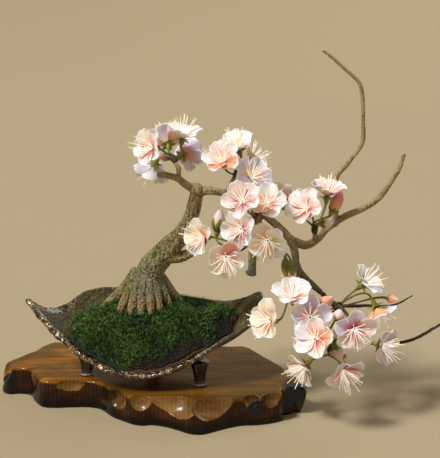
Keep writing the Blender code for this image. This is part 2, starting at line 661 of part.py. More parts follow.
def corolla(opening, bends):
    """Five notched petals joined at a small five-sided middle."""
    data = bmesh.new()
    corner = HUB_RADIUS / math.cos(math.radians(36))
    hub = []
    for index in range(5):
        angle = math.radians(72 * index - 36)
        hub.append(
            data.verts.new((corner * math.cos(angle), corner * math.sin(angle), 0))
        )
    for index in range(5):
        turn = Matrix.Rotation(math.radians(72 * index), 4, "Z")
        bend = opening + bends[index]
        half = petal_width(PETAL_LOW_ROW, PETAL_LOW_WIDTH, bend)
        low = [
            data.verts.new(turn @ Vector(petal_point(PETAL_LOW_ROW, side, half, bend)))
            for side in (-1, 1)
        ]
        half = petal_width(PETAL_WIDE_ROW, 1.0, bend)
        wide = [
            data.verts.new(turn @ Vector(petal_point(PETAL_WIDE_ROW, side, half, bend)))
            for side in (-1, 0, 1)
        ]
        half = petal_width(PETAL_NOTCH, 1.0, bend)
        ends = (
            (PETAL_TIP, -PETAL_TIP_SIDE), (PETAL_NOTCH, 0.0), (PETAL_TIP, PETAL_TIP_SIDE)
        )
        tip = [
            data.verts.new(turn @ Vector(petal_point(along, side, half, bend)))
            for along, side in ends
        ]
        left, right = hub[index], hub[(index + 1) % 5]
        for corners in (
            (left, right, low[1]), (left, low[1], low[0]),
            (low[0], wide[1], wide[0]), (low[0], low[1], wide[1]),
            (low[1], wide[2], wide[1]),
            (wide[0], wide[1], tip[0]), (wide[1], tip[1], tip[0]),
            (wide[1], tip[2], tip[1]), (wide[1], wide[2], tip[2]),
        ):
            data.faces.new(corners)
    data.faces.new(hub)
    bmesh.ops.triangulate(data, faces=[face for face in data.faces if len(face.verts) > 3])
    bmesh.ops.recalc_face_normals(data, faces=data.faces)
    if sum(face.normal.z for face in data.faces) < 0:
        bmesh.ops.reverse_faces(data, faces=data.faces)
    item = object_from_bmesh("corolla", data, cutter=True)
    thickness = item.modifiers.new("thickness", "SOLIDIFY")
    thickness.thickness = PETAL_THICKNESS
    thickness.offset = -1.0
    return bake(item)


def stamens():
    """Thin stamens fanning out of the bloom's middle, thicker at the end."""
    pieces = []
    for lean, turn in STAMENS:
        lean = math.radians(lean)
        turn = math.radians(turn)
        direction = Vector((
            math.sin(lean) * math.cos(turn),
            math.sin(lean) * math.sin(turn),
            math.cos(lean),
        ))
        root = Vector((math.cos(turn), math.sin(turn), 0.0)) * STAMEN_RING
        start = root - direction * STAMEN_SUNK
        pieces.append(
            cone("stamen", start, direction, STAMEN_RADIUS, ANTHER_RADIUS, STAMEN_LENGTH, 3)
        )
    return pieces


def build_bloom(name, materials):
    middle, facing, opening, spin, bends, _, _ = BLOOMS[name]
    item = corolla(opening, bends)
    combine(item, stamens())
    first, second, ahead = bloom_axes(facing, spin)
    matrix = Matrix((first, second, ahead)).transposed().to_4x4()
    matrix.translation = Vector(middle) * MM
    item.matrix_world = matrix
    finish(item, name, materials["petal_blush"])


def build_bud(name, materials):
    base, tip, radius, _, _ = BUDS[name]
    start = Vector(base) * MM
    end = Vector(tip) * MM
    direction = (end - start).normalized()
    length = (end - start).length - GAP
    item = ball("bud", (0, 0, 0), (radius, radius, length / 2 / MM), 6, 6)
    item.matrix_world = pose(start + direction * (GAP + length / 2), direction)
    finish(item, name, materials["bud_pink"])


def calyx(seat, direction, reach, length, sides):
    """A small cone, its upper edge drawn out into sepals when it has ten sides."""
    sepals = sides == 2 * SEPAL_COUNT
    notch = SEPAL_NOTCH if sepals else 1.0
    data = bmesh.new()
    bmesh.ops.create_cone(
        data, cap_ends=True, segments=sides, radius1=STALK_RADIUS * 1.1,
        radius2=reach * notch, depth=length,
    )
    upper = [vertex for vertex in data.verts if vertex.co.z > 0]
    upper.sort(key=lambda vertex: math.atan2(vertex.co.y, vertex.co.x))
    if sepals:
        for vertex in upper[::2]:
            vertex.co.x /= notch
            vertex.co.y /= notch
    middle = seat - direction * length / 2
    bmesh.ops.transform(data, matrix=pose(middle, direction), verts=data.verts)
    return object_from_bmesh("calyx", data, cutter=True)


def stalk(spray, order, end, ahead, bow):
    """A curved stalk from inside a spray's knot to the foot of a calyx."""
    spur, direction, _ = spur_end(spray)
    length = (end - spur - direction * STALK_START).length
    bend = Vector(bow) * MM
    first = spur + direction * (STALK_START + STALK_STAGGER * order)
    second = first + direction * length * STALK_REACH[0] + bend
    third = end - ahead * length * STALK_REACH[1] + bend
    points = []
    for step in range(STALK_STEPS + 1):
        t = step / STALK_STEPS
        s = 1 - t
        point = first * s**3 + second * 3 * s * s * t + third * 3 * s * t * t + end * t**3
        points.append((*(point / MM), STALK_RADIUS / MM))
    into = (end + ahead * STALK_INTO_CALYX) / MM
    points.append((*into, STALK_RADIUS / MM))
    return tube("stalk", points, 0, twist=STALK_TWIST * order)


def spray_seats(spray):
    """Where each bloom and bud of a spray sits: calyx, stalk's end, direction, bow."""
    seats = []
    for middle, facing, _, spin, _, bow, home in BLOOMS.values():
        if home == spray:
            ahead = bloom_axes(facing, spin)[2]
            centre = Vector(middle) * MM
            seat = centre - ahead * (PETAL_THICKNESS + GAP)
            cup = calyx(seat, ahead, SEPAL_REACH, CALYX_LENGTH, 2 * SEPAL_COUNT)
            seats.append((cup, centre - ahead * STALK_SEAT, ahead, bow))
    for base, tip, _, bow, home in BUDS.values():
        if home == spray:
            ahead = (Vector(tip) - Vector(base)).normalized()
            seat = Vector(base) * MM
            cup = calyx(seat, ahead, BUD_CALYX_REACH, BUD_CALYX_LENGTH, BUD_CALYX_SIDES)
            seats.append((cup, seat - ahead * BUD_STALK_SEAT, ahead, bow))
    return seats


def build_spray(name, materials):
    spray = name.removeprefix("stalks_")
    spur, direction, radius = spur_end(spray)
    knot = cone(
        "knot", spur + direction * GAP, direction, radius * 1.25, radius * 0.95,
        KNOT_LENGTH, 8,
    )
    pieces = []
    for order, (cup, end, ahead, bow) in enumerate(spray_seats(spray)):
        pieces.append(cup)
        pieces.append(stalk(spray, order, end, ahead, bow))
    combine(knot, pieces)
    finish(knot, name, materials["stalk_green"])


def main():
    clear_scene()
    new_collection("cherry_bonsai")
    cutters = new_collection("cutters")
    cutters.hide_render = True
    materials = {name: make_material(name) for name in MATERIALS}
    build_slab(materials)
    build_tray(materials)
    build_ground(materials)
    build_tree(materials)
    for name in BLOOMS:
        build_bloom(name, materials)
    for name in BUDS:
        build_bud(name, materials)
    for name in SPRAYS:
        build_spray(name, materials)


main()
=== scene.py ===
"""Flowering cherry bonsai in a curved glazed tray on a polished wooden slab.

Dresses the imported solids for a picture: figured lacquered wood, a crusted glazed
tray, soil and moss, furrowed bark and soft petals with their stamens.
Metres, +Z up, the front of the tray toward -Y. Points in tables are millimetres.
"""

import math
import random

import bpy
import numpy as np
from bpy.props import (
    FloatProperty, FloatVectorProperty, IntProperty, PointerProperty,
)
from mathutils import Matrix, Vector, noise


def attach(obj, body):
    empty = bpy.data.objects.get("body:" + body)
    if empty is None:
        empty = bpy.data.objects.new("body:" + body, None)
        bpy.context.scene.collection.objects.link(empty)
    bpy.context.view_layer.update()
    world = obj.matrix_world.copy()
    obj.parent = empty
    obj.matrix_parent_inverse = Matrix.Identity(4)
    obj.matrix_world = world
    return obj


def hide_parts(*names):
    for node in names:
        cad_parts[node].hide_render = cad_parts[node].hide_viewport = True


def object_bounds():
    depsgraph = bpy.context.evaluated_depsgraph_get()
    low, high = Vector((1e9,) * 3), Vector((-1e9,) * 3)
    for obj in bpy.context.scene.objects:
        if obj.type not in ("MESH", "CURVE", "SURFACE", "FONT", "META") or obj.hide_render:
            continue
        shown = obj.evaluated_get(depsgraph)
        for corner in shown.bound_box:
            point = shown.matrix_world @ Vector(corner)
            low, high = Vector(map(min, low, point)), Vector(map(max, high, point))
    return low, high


bl_info = {
    "name": "Cherry Blossom Bonsai",
    "version": (1, 0, 0),
    "blender": (4, 5, 0),
    "location": "View3D > Sidebar > Bonsai",
    "description": "Dresses a flowering cherry bonsai in its tray and on its slab",
    "category": "Object",
}

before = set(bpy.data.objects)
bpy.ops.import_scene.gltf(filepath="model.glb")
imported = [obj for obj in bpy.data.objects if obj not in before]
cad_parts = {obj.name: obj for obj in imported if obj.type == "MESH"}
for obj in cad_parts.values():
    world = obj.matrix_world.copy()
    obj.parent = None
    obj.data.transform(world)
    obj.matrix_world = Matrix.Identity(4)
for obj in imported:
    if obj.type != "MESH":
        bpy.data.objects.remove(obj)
CAD_BOX = [[float(value) for value in corner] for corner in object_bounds()]

MM = 0.001
WELD_DISTANCE = 0.01 * MM

# A reach, in half sizes or radii, that counts as far from everything
FAR = 9.0

# Outline of the slab seen from above, and the points laid between two of them
SLAB_OUTLINE = [
    (-106, 8), (-105, 20), (-98, 32), (-90, 44), (-86, 56), (-77, 65), (-66, 63),
    (-54, 58), (-38, 60), (-20, 64), (0, 63), (20, 66), (38, 62), (52, 56), (62, 54),
    (75, 53), (84, 42), (89, 31), (97, 18), (103, 6), (105, -8), (112, -17),
    (116, -25), (115, -33), (107, -36), (99, -36), (98, -44), (90, -49), (80, -52),
    (70, -53), (60, -57), (50, -63), (43, -67), (35, -66), (26, -60), (18, -55),
    (9, -52), (3, -53), (-4, -51), (-12, -45), (-20, -38), (-29, -26), (-38, -22),
    (-50, -22), (-62, -23), (-71, -21), (-78, -12), (-84, 0), (-92, 3), (-100, 2),
]
SLAB_SPAN = 12
SLAB_HEIGHT = 20

# Inset and height of the rows of points up its side, and the deepest inset
SLAB_ROWS = [
    (1.6, 0.0), (0.5, 0.5), (0.2, 2.0), *((0.4, height) for height in range(3, 18)),
    (0.5, 18.0), (0.6, 18.6), (0.9, 19.1), (1.3, 19.5), (1.9, 19.8), (2.8, 20.0),
]
SLAB_DEEPEST = 6.0

# Middle of its flat top, and how the last row is drawn in toward it
SLAB_MIDDLE = (0.0, 26.0, SLAB_HEIGHT)
SLAB_TOP_SHARES = (*(1 - 0.01 * step for step in range(1, 15)), 0.8, 0.7, 0.55, 0.4, 0.2)

# Carved hollows along the slab's edge: middle, then half sizes
SLAB_HOLLOWS = [
    ((-109, 4, 20), (12, 12, 13)),
    ((-87, -9, 20), (11, 10, 13)),
    ((-72, -30, 7), (13, 9, 7)),
    ((-49, -30, 18), (16, 12, 9)),
    ((-33, -34, 5), (10, 10, 7)),
    ((-19, -48, 15), (10, 13, 10)),
    ((0, -61, 18), (13, 14, 10)),
    ((19, -65, 24), (24, 17, 17)),
    ((54, -68, 24), (20, 17, 17)),
    ((38, -78, 3), (9, 12, 7)),
    ((77, -60, 23), (9, 13, 15)),
    ((92, -55, 24), (10, 12, 16)),
    ((107, -49, 8), (9, 11, 10)),
    ((105, 24, 22), (10, 13, 13)),
    ((97, 42, 17), (12, 11, 12)),
    ((-111, 32, 20), (10, 14, 13)),
    ((-94, 62, 20), (14, 12, 13)),
    ((-40, 69, 22), (20, 12, 14)),
    ((10, 74, 21), (22, 12, 14)),
    ((62, 63, 21), (17, 12, 14)),
]

# Places stained near black: middle, reach
SLAB_STAINS = [
    ((111, -27, 14), 14), ((79, -54, 12), 7), ((-103, 2, 8), 10), ((103, -42, 10), 9),
]

# Upper edge of the tray, starting at its left tip
TRAY_RIM = [
    (-81, 1, 73), (-70, -9, 63), (-58, -18, 54), (-46, -26, 46), (-34, -32, 40),
    (-21, -38, 35), (-7, -42, 33), (8, -43, 33), (22, -42, 37), (36, -39, 43),
    (48, -35, 50), (60, -30, 56), (71, -23, 60), (79, -11, 65), (83, 2, 76),
    (80, 14, 74), (73, 26, 67), (62, 37, 61), (46, 45, 59), (26, 50, 61),
    (5, 52, 64), (-16, 51, 66), (-33, 48, 68), (-47, 43, 66), (-57, 35, 61),
    (-67, 26, 59), (-76, 15, 64),
]
TRAY_SPAN = 13
TRAY_FLOOR = (3.0, 2.0, 35.0)
TRAY_CLIMB = 2.63
TRAY_THICKNESS = 3.2

# Turns in degrees of the rows over the tray's lip, and how far the lip bulges
LIP_TURNS = (25, 55, 90, 125, 155)
LIP_BULGE = 0.42

# Feet: middles, height of their soles, usual and widest radius, and the climb and share
# of the usual radius up a foot
TRAY_FEET = [(-40, -9), (41, -29), (4, 34)]
FOOT_BOTTOM = 20.4
FOOT_RADII = (4.3, 7.0)
FOOT_PROFILE = [
    (0.0, 0.86), (0.25, 1.0), (1.6, 1.02), (2.0, 0.93), (4.0, 0.92),
    (7.0, 1.0), (10.0, 1.14), (13.0, 1.34), (16.0, 1.56),
]
FOOT_SIDES = 28

# Top of a foot under the tray's middle, how much it rises at a reach from there, and
# the highest that it may be
FOOT_TOP = (35.5, 1.5, 45)
FOOT_HIGHEST = 40.0

# Edge of the soil as a share of the way out to the rim
SOIL_EDGE = [
    0.58, 0.68, 0.78, 0.86, 0.90, 0.91, 0.91, 0.91, 0.91, 0.91, 0.90, 0.89, 0.86,
    0.80, 0.78, 0.79, 0.81, 0.84, 0.87, 0.88, 0.88, 0.86, 0.82, 0.76, 0.68, 0.60,
    0.56,
]
MOUND_TOP = (2.0, 15.0, 66.0)
MOUND_RISE = [(0.0, 1.0), (0.36, 0.95), (0.70, 0.56), (1.0, 0.0)]
MOUND_SPAN = 9
MOUND_RINGS = 44
MOSS_DEPTH = 3.8
SOIL_CRUMBS = 3600

# The heap's edge over the tray, the skirt let down from it, and its underside
HEAP_EDGE_RISE = 1.2
SKIRT_SHARE, SKIRT_DROP = 0.97, 2.4
UNDERSIDE_SHARE, UNDERSIDE_HEIGHT = 0.5, 40.0

# Bare patches in the moss: middle, half sizes, turn in degrees
BARE_PATCHES = [
    ((22, -37), (30, 8), 12), ((58, -12), (9, 17), -14), ((-52, -6), (7, 10), 30),
    ((40, 4), (13, 2.5), 10), ((-30, 36), (24, 6), -8),
]

# Wood of the tree: (x, y, z, radius)
TRUNK = [
    (-3, 15, 45, 11.5), (-1, 14, 65, 11.9), (1, 11, 81, 10.5), (6, 8, 94, 9.4),
    (15, 5, 106, 8.0), (25, 3, 117, 6.7), (33, 2, 129, 5.5), (37, 2, 141, 4.9),
    (39, 2, 151, 4.4), (40, 2, 155, 3.0),
]
ROOTS = [
    [(-4, 10, 92, 4.5), (-11, 10, 82, 4.3), (-19, 11, 73, 3.8), (-28, 12, 65, 3.2),
     (-36, 12, 57, 2.6), (-43, 11, 50, 1.9)],
    [(-4, 6, 90, 4.0), (-10, 2, 78, 3.6), (-15, -1, 68, 3.0), (-18, -3, 60, 2.2)],
    [(-2, 4, 90, 3.8), (-5, 0, 78, 3.4), (-8, -4, 67, 2.9), (-9, -6, 58, 2.3)],
    [(1, 3, 90, 3.8), (0, -2, 78, 3.4), (-1, -6, 66, 2.9), (-1, -8, 57, 2.3)],
    [(4, 3, 90, 3.7), (5, -2, 78, 3.3), (6, -6, 66, 2.8), (7, -8, 57, 2.2)],
    [(7, 4, 90, 3.6), (10, 0, 79, 3.2), (12, -3, 68, 2.7), (14, -5, 60, 2.1)],
    [(9, 6, 88, 3.4), (14, 4, 79, 3.1), (18, 3, 70, 2.6), (21, 2, 62, 2.0)],
    [(9, 9, 92, 4.0), (16, 10, 82, 3.6), (24, 11, 71, 3.0), (31, 12, 62, 2.2)],
    [(-1, 19, 88, 4.4), (-3, 26, 76, 3.8), (-5, 32, 64, 3.0), (-6, 35, 56, 2.2)],
]
BRANCHES = {
    "left_twig": [(39, 2, 151, 3.0), (31, 2, 156, 2.8), (25, 4, 160, 2.3),
                  (17, 6, 162, 2.1), (11, 7, 162, 1.9)],
    "left_spur": [(26, 4, 159, 1.8), (26, 7, 166, 1.7), (24, 9, 170, 1.6)],
    "main": [(39, 2, 151, 3.4), (48, 0, 152, 2.9), (60, -1, 150, 2.6),
             (69, -2, 148, 2.5), (80, -3, 142, 2.5), (88, -4, 134, 2.5),
             (97, -5, 126, 2.6), (105, -7, 118, 2.8)],
    "upper_spur": [(60, -1, 150, 1.9), (63, 0, 157, 1.7), (65, 0, 161, 1.6)],
    "middle_spur": [(77, -3, 144, 1.9), (78, -9, 140, 1.7)],
    "cut_twig": [(84, -4, 138, 2.3), (81, -1, 128, 2.4), (79, 1, 120, 2.6),
                 (78, 3, 105, 2.8), (78, 4, 90, 2.9)],
    "cut_nub": [(78, 4, 94, 1.9), (74, 2, 92, 1.7)],
    "front_spur": [(80, -1, 126, 1.9), (77, -8, 120, 1.7)],
    "right": [(105, -7, 118, 2.8), (115, -4, 114, 2.8), (123, 0, 117, 2.6),
              (129, 3, 123, 2.5), (137, 5, 129, 2.4), (146, 8, 133, 2.3),
              (161, 10, 140, 2.2), (169, 12, 146, 2.1), (176, 13, 156, 1.9),
              (182, 14, 166, 1.7), (185, 15, 176, 1.3)],
    "thin": [(136, 5, 129, 2.0), (138, 8, 144, 1.7), (137, 10, 159, 1.6),
             (144, 11, 168, 1.6), (147, 12, 172, 1.5), (155, 13, 184, 1.5),
             (155, 13, 199, 1.4), (154, 13, 216, 1.4), (151, 13, 226, 1.3),
             (141, 12, 235, 1.2), (133, 12, 242, 1.1), (125, 11, 248, 0.9)],
    "right_spur": [(122, -1, 117, 1.9), (121, -6, 123, 1.6)],
    "lower": [(105, -7, 118, 2.8), (107, -9, 110, 2.6), (108, -11, 102, 2.4),
              (112, -13, 95, 2.3), (119, -15, 88, 2.3), (125, -16, 83, 2.2),
              (134, -17, 75, 2.2), (142, -15, 73, 1.9), (157, -11, 72, 1.7),
              (177, -7, 71, 1.4), (192, -5, 78, 1.0)],
    "fork_spur": [(111, -12, 97, 1.8), (107, -19, 95, 1.6)],
    "cluster_spur": [(132, -17, 76, 2.0), (135, -25, 77, 1.8)],
    "second": [(134, -17, 75, 2.1), (143, -15, 59, 2.0), (158, -11, 46, 2.0),
               (173, -7, 42, 1.9), (181, -5, 42, 1.8), (195, -3, 45, 1.8),
               (213, 1, 54, 1.6), (222, 3, 59, 1.3)],
    "low_spur": [(140, -15, 63, 1.8), (136, -20, 53, 1.6), (133, -24, 48, 1.5)],
    "stub": [(17, 3, 104, 5.4), (27, 2, 104, 4.0), (36, 2, 108, 2.8)],
}

# Points laid between two of a stem's, and the least radius a stem is drawn with
STEM_SPAN = 6
THINNEST_STEM = 0.6

# Height over which the trunk counts, and under which gaps between roots are looked for
TRUNK_FOOT = 84
GAPS_BELOW = 92

# Swellings where branches meet: middle, radius
KNUCKLES = [((39, 2, 152), 5.2), ((105, -7, 117), 3.5), ((134, -17, 75), 3.0),
            ((136, 5, 128), 3.0)]

# Each spray of flower stalks grows from the end of one spur
SPRAYS = {
    "stalks_left": "left_spur",
    "stalks_upper": "upper_spur",
    "stalks_middle": "middle_spur",
    "stalks_front": "front_spur",
    "stalks_right": "right_spur",
    "stalks_fork": "fork_spur",
    "stalks_cluster": "cluster_spur",
    "stalks_low": "low_spur",
}

# Blooms: middle, facing as (turn, rise) in degrees, opening, spin,
# bend of each petal, sideways bow of the stalk, spray
BLOOMS = {
    "bloom_01": ((9, -1, 182), (228, 13), 24, 31, (0, -7, -5, -2, -1), (-4, 3, 1), "left"),
    "bloom_02": ((29, 4, 188), (320, 75), 24, 27, (-2, 5, -2, -2, 1), (2, 1, -4), "left"),
    "bloom_03": ((18, 21, 182), (99, 38), 28, 44, (-3, -1, 3, -1, 5), (0, 1, -1), "left"),
    "bloom_04": ((8, 24, 167), (134, -47), 22, 71, (-2, -3, -11, 0, -12), (2, -2, 2), "left"),
    "bloom_05": ((28, 31, 173), (54, 5), 26, 40, (5, 8, -3, 1, 4), (-3, -2, -1), "left"),
    "bloom_06": ((57, -9, 173), (251, 43), 27, 24, (0, -1, 3, -7, 1), (0, 1, -3), "upper"),
    "bloom_07": ((68, 7, 180), (237, 58), 22, 46, (7, 4, 6, 8, 0), (0, 0, -1), "upper"),
    "bloom_08": ((76, 24, 169), (347, 46), 28, 69, (7, -1, -5, -23, 9), (-2, -1, -3), "upper"),
    "bloom_09": ((76, -8, 162), (294, 34), 20, 34, (-11, -3, -4, -2, -3), (-3, 5, -1), "upper"),
    "bloom_10": ((86, -24, 146), (267, 38), 24, 62, (6, 10, -1, -7, 5), (2, 3, -2), "middle"),
    "bloom_11": ((70, -35, 150), (254, 36), 27, 33, (11, -6, -11, 1, -10), (1, -1, -1), "middle"),
    "bloom_12": ((70, -11, 127), (244, 5), 18, 23, (-2, 4, -11, 2, 5), (3, -1, 1), "middle"),
    "bloom_13": ((87, -28, 123), (262, -9), 18, 29, (-4, 12, 3, -4, 6), (0, -5, 4), "front"),
    "bloom_14": ((59, -21, 110), (271, -8), 18, 48, (7, 9, 10, 9, 0), (-1, -1, -4), "front"),
    "bloom_15": ((44, -10, 121), (223, 6), 24, 14, (-6, 11, -8, 7, -1), (4, -4, -1), "front"),
    "bloom_18": ((114, -18, 142), (235, 33), 25, 46, (0, 1, 0, -5, 2), (0, 3, 0), "right"),
    "bloom_19": ((129, -5, 149), (301, 79), 28, 6, (1, 0, 4, 7, 3), (-2, 0, -6), "right"),
    "bloom_20": ((99, 18, 140), (109, 18), 26, 49, (-9, -10, 0, 0, -10), (0, 1, 1), "right"),
    "bloom_21": ((153, -21, 90), (331, 42), 26, 56, (-1, 1, -1, -3, -4), (-3, 1, -2), "cluster"),
    "bloom_22": ((162, -24, 75), (336, -61), 22, 4, (-5, -5, -2, 4, 16), (0, 0, 3), "cluster"),
    "bloom_23": ((144, -47, 67), (272, -4), 12, 69, (3, 0, 4, -2, -2), (0, 1, -1), "cluster"),
    "bloom_24": ((164, -34, 51), (322, -6), 20, 35, (-6, 0, 6, 6, 1), (2, -2, -1), "cluster"),
    "bloom_25": ((136, -56, 42), (288, -31), 20, 28, (-2, 0, -5, -3, -5), (-2, 2, -2), "low"),
    "bloom_26": ((113, -43, 40), (214, -28), 24, 70, (-4, 1, 4, -1, -1), (6, 2, -1), "low"),
    "bloom_27": ((117, -63, 65), (244, 31), 22, 63, (-1, -4, -1, 0, 10), (-2, 1, -1), "cluster"),
    "bloom_28": ((115, -44, 74), (266, 12), 14, 1, (-12, 17, 3, -6, -11), (-3, -2, -4), "cluster"),
    "bloom_29": ((89, -38, 70), (229, 14), 20, 12, (-11, -5, 0, 4, 16), (0, -1, -3), "fork"),
    "bloom_30": ((103, -42, 87), (264, 56), 24, 6, (-4, -2, 7, -1, 3), (1, -1, -1), "fork"),
}

# Buds: base, tip, radius, sideways bow of the stalk, spray
BUDS = {
    "bud_01": ((53, 2, 122), (55, 3, 139), 4.8, (0, -4, 1), "front"),
    "bud_02": ((100, -15, 107), (101, -11, 92), 3.0, (-4, 4, 2), "front"),
    "bud_03": ((103, -26, 105), (104, -27, 93), 3.8, (-1, -1, 1), "front"),
    "bud_04": ((133, -1, 137), (140, 1, 152), 4.6, (-5, 0, 3), "right"),
    "bud_05": ((124, -13, 131), (133, -11, 131), 3.6, (4, -1, 2), "right"),
    "bud_06": ((170, -23, 81), (176, -31, 82), 2.8, (-2, 0, -1), "cluster"),
    "bud_07": ((134, -33, 49), (137, -37, 40), 4.8, (0, -2, -2), "low"),
    "bud_08": ((122, -36, 79), (131, -37, 86), 4.4, (0, 2, -1), "cluster"),
    "bud_09": ((134, -41, 71), (135, -42, 79), 4.2, (2, 0, 0), "cluster"),
    "bud_10": ((18, 16, 172), (12, 7, 175), 2.2, (-3, 0, 0), "left"),
    "bud_11": ((134, -32, 55), (134, -35, 63), 2.8, (0, 2, -2), "low"),
    "bud_12": ((140, -25, 40), (144, -25, 36), 2.4, (0, 1, 2), "low"),
}

# Where a stalk starts in its knot, how far its ends reach straight on, and how far
# behind a bloom or a bud it ends
STALK_START = 2.3
STALK_STAGGER = 0.15
STALK_REACH = (0.30, 0.35)
STALK_SEAT = 6.0
BUD_STALK_SEAT = 3.5

# Points along a stalk, and how far its last one reaches into the green cup
STALK_STEPS = 15
STALK_TIP = 1.0

# Climb and radius of a bloom's green cup, and climb and share of the radius of a bud's
CUP_PROFILE = [
    (0.0, 1.7), (-0.5, 2.2), (-1.6, 2.0), (-2.8, 1.75), (-4.0, 1.45), (-5.0, 1.05),
    (-5.8, 0.85),
]
BUD_CUP_PROFILE = [(0.3, 0.55), (-0.4, 0.62), (-1.4, 0.5), (-2.4, 0.38), (-3.4, 0.28)]

# Radii of the knot at the end of a spur, as shares of the spur's own
KNOT_SWELL = [1.0, 1.18, 1.28, 1.3, 1.28, 1.2, 1.1, 0.95, 0.7]

# Petals: how many, foot's distance from the middle, curl in degrees, and half width
# as a share of the widest along the length
PETALS = 5
PETAL_FOOT = 0.88
PETAL_CURL = 18.0
PETAL_WIDTHS = [
    (0.0, 0.17), (0.08, 0.25), (0.2, 0.50), (0.35, 0.78), (0.5, 0.95), (0.65, 1.0),
    (0.78, 0.95), (0.9, 0.84), (1.0, 0.70),
]

# Stamens: turn from one to the next in radians, distance and height of their feet, and
# radii from foot to end
STAMEN_TURN = 2.399963
STAMEN_FOOT = (0.7, 0.3)
STAMEN_RADII = (0.30, 0.28, 0.27, 0.26, 0.25, 0.22)

# Sepals: points of their mesh, fold along the middle, half width of the tip, how far
# those of a bud stand off it, and thickness
SEPAL_ROWS, BUD_SEPAL_ROWS, SEPAL_COLUMNS = 9, 10, 5
SEPAL_FOLD = 0.18
SEPAL_POINT = 0.04
BUD_SEPAL_GAP = 0.28
SEPAL_THICKNESS, BUD_SEPAL_THICKNESS, SCALE_THICKNESS = 0.2, 0.16, 0.25

# Sides of each kind of round stem, and how rough it is
TRUNK_MESH = (56, 0.13)
ROOT_MESH = (20, 0.16)
BRANCH_MESH = (20, 0.15)
KNUCKLE_MESH = (20, 0.12)
KNOT_MESH = (14, 0.12)
CUP_MESH = (14, 0.05)
BUD_CUP_MESH = (12, 0.05)
STALK_MESH = (9, 0.06)
STAMEN_MESH = (4, 0.0)

# Petal tints of each bloom, petal by petal: at the foot, then at the edge
BLOOM_TINTS = {
    "bloom_01": "sc ew sw ew ew", "bloom_02": "bw ew bw bw bw", "bloom_03": "eb eb pb eb bl",
    "bloom_04": "bl bl lw bl bl", "bloom_05": "pl pl bl pl bl", "bloom_06": "eb ew se se eb",
    "bloom_07": "yw yw eb ew yw", "bloom_08": "ec eb eb yc ec", "bloom_09": "yl bl bl yl gl",
    "bloom_10": "ec ye sb ew ew", "bloom_11": "pb pb pb pb pb", "bloom_12": "pw pw pb pw pw",
    "bloom_13": "ec ec ec gw yw", "bloom_14": "pb ec ec pb pe", "bloom_15": "sc ec bl ec sc",
    "bloom_18": "sw sw sb pb sw", "bloom_19": "pb pb gb pb pb", "bloom_20": "pb pb eb eb pb",
    "bloom_21": "bw lw lw gw lw", "bloom_22": "gl ye ye yl gl", "bloom_23": "ml mb mb mb ml",
    "bloom_24": "bl bl pl bl bl", "bloom_25": "pl sb pl pb pl", "bloom_26": "ec ec eb ec ec",
    "bloom_27": "bl bw sb se sb", "bloom_28": "pl pl pl sb bl", "bloom_29": "sc ec sc ec yc",
    "bloom_30": "sb bw bw sb lw",
}

# Colour of a bud at its foot and tip, and how far its sepals reach up it
BUD_TINTS = {
    "bud_01": ("c", "b", 0.62), "bud_02": ("g", "y", 0.7), "bud_03": ("y", "b", 0.62),
    "bud_04": ("y", "p", 0.2), "bud_05": ("e", "b", 0.3), "bud_06": ("y", "e", 0.4),
    "bud_07": ("e", "b", 0.25), "bud_08": ("p", "e", 0.3), "bud_09": ("e", "b", 0.2),
    "bud_10": ("e", "p", 0.4), "bud_11": ("e", "c", 0.3), "bud_12": ("e", "b", 0.3),
}

# First random seed of each kind of piece
SOIL_SEED, MOSS_SEED, BLOOM_SEED, BUD_SEED, STALK_SEED = 5, 7, 100, 300, 500

# Reach and height in metres of the floor's rings
FLOOR_RINGS = [
    (1.0, 0.0), (2.0, 0.0), (2.6, 0.04), (3.2, 0.16), (3.8, 0.38), (4.4, 0.72), (5.0, 1.20),
    (5.5, 1.80), (5.9, 2.50),
]
FLOOR_SIDES = 96

# Lights: name, where the light comes from, power, softness in degrees, colour
SUNS = [
    ("main_sun", (-0.74, -0.40, 1.10), 3.1, 12.0, (1.0, 0.985, 0.955)),
    ("rim_sun", (0.60, 0.85, 0.75), 0.6, 30.0, (0.86, 0.93, 1.0)),
]
ROOM_COLOUR = (0.88, 0.84, 0.76, 1.0)
ROOM_LIGHT = 0.34

# Camera: place in metres, tilt in degrees, half its view as a slope
CAMERA_PLACE = (0.055, -0.618, 0.256)
CAMERA_TILT = 78.0
CAMERA_SLOPE = 229 / 900


def linear(red, green, blue):
    """A picture colour, 0 to 255, as the linear colour that a material takes."""
    shares = [value / 255 for value in (red, green, blue)]
    return tuple(
        share / 12.92 if share <= 0.04045 else ((share + 0.055) / 1.055) ** 2.4
        for share in shares
    )


def millimetres(name, description, usual, least, most):
    """A length that a user can change, given in millimetres."""
    return FloatProperty(
        name=name, description=description, default=usual * MM, min=least * MM,
        max=most * MM, unit="LENGTH",
    )


class BonsaiSizes(bpy.types.PropertyGroup):
    """Sizes that change how the dressed tree looks."""

    petal_length: millimetres(
        "Petal length", "From a bloom's middle to a petal's tip", 14.6, 8, 20,
    )
    petal_width: millimetres("Petal half width", "Half the widest part of a petal", 6.9, 4, 10)
    petal_thickness: millimetres("Petal thickness", "Thickness of a petal", 0.22, 0.1, 0.6)
    stamen_length: millimetres("Stamen length", "Length of the longest stamens", 17.6, 6, 20)
    stamen_count: IntProperty(
        name="Stamens", description="Stamens in each open bloom",
        default=23, min=5, max=45,
    )
    bark_relief: millimetres("Bark relief", "Height of the fine furrows of the bark", 0.5, 0, 1)
    wood_grain: millimetres(
        "Wood mesh size", "Size of the small faces that the wood is made of", 0.6, 0.4, 2,
    )
    moss_shoots: IntProperty(
        name="Moss shoots", description="Number of small shoots that make the moss",
        default=36000, min=1000, max=60000,
    )
    moss_height: millimetres("Moss height", "Length of a shoot of moss", 2.9, 0.5, 5)


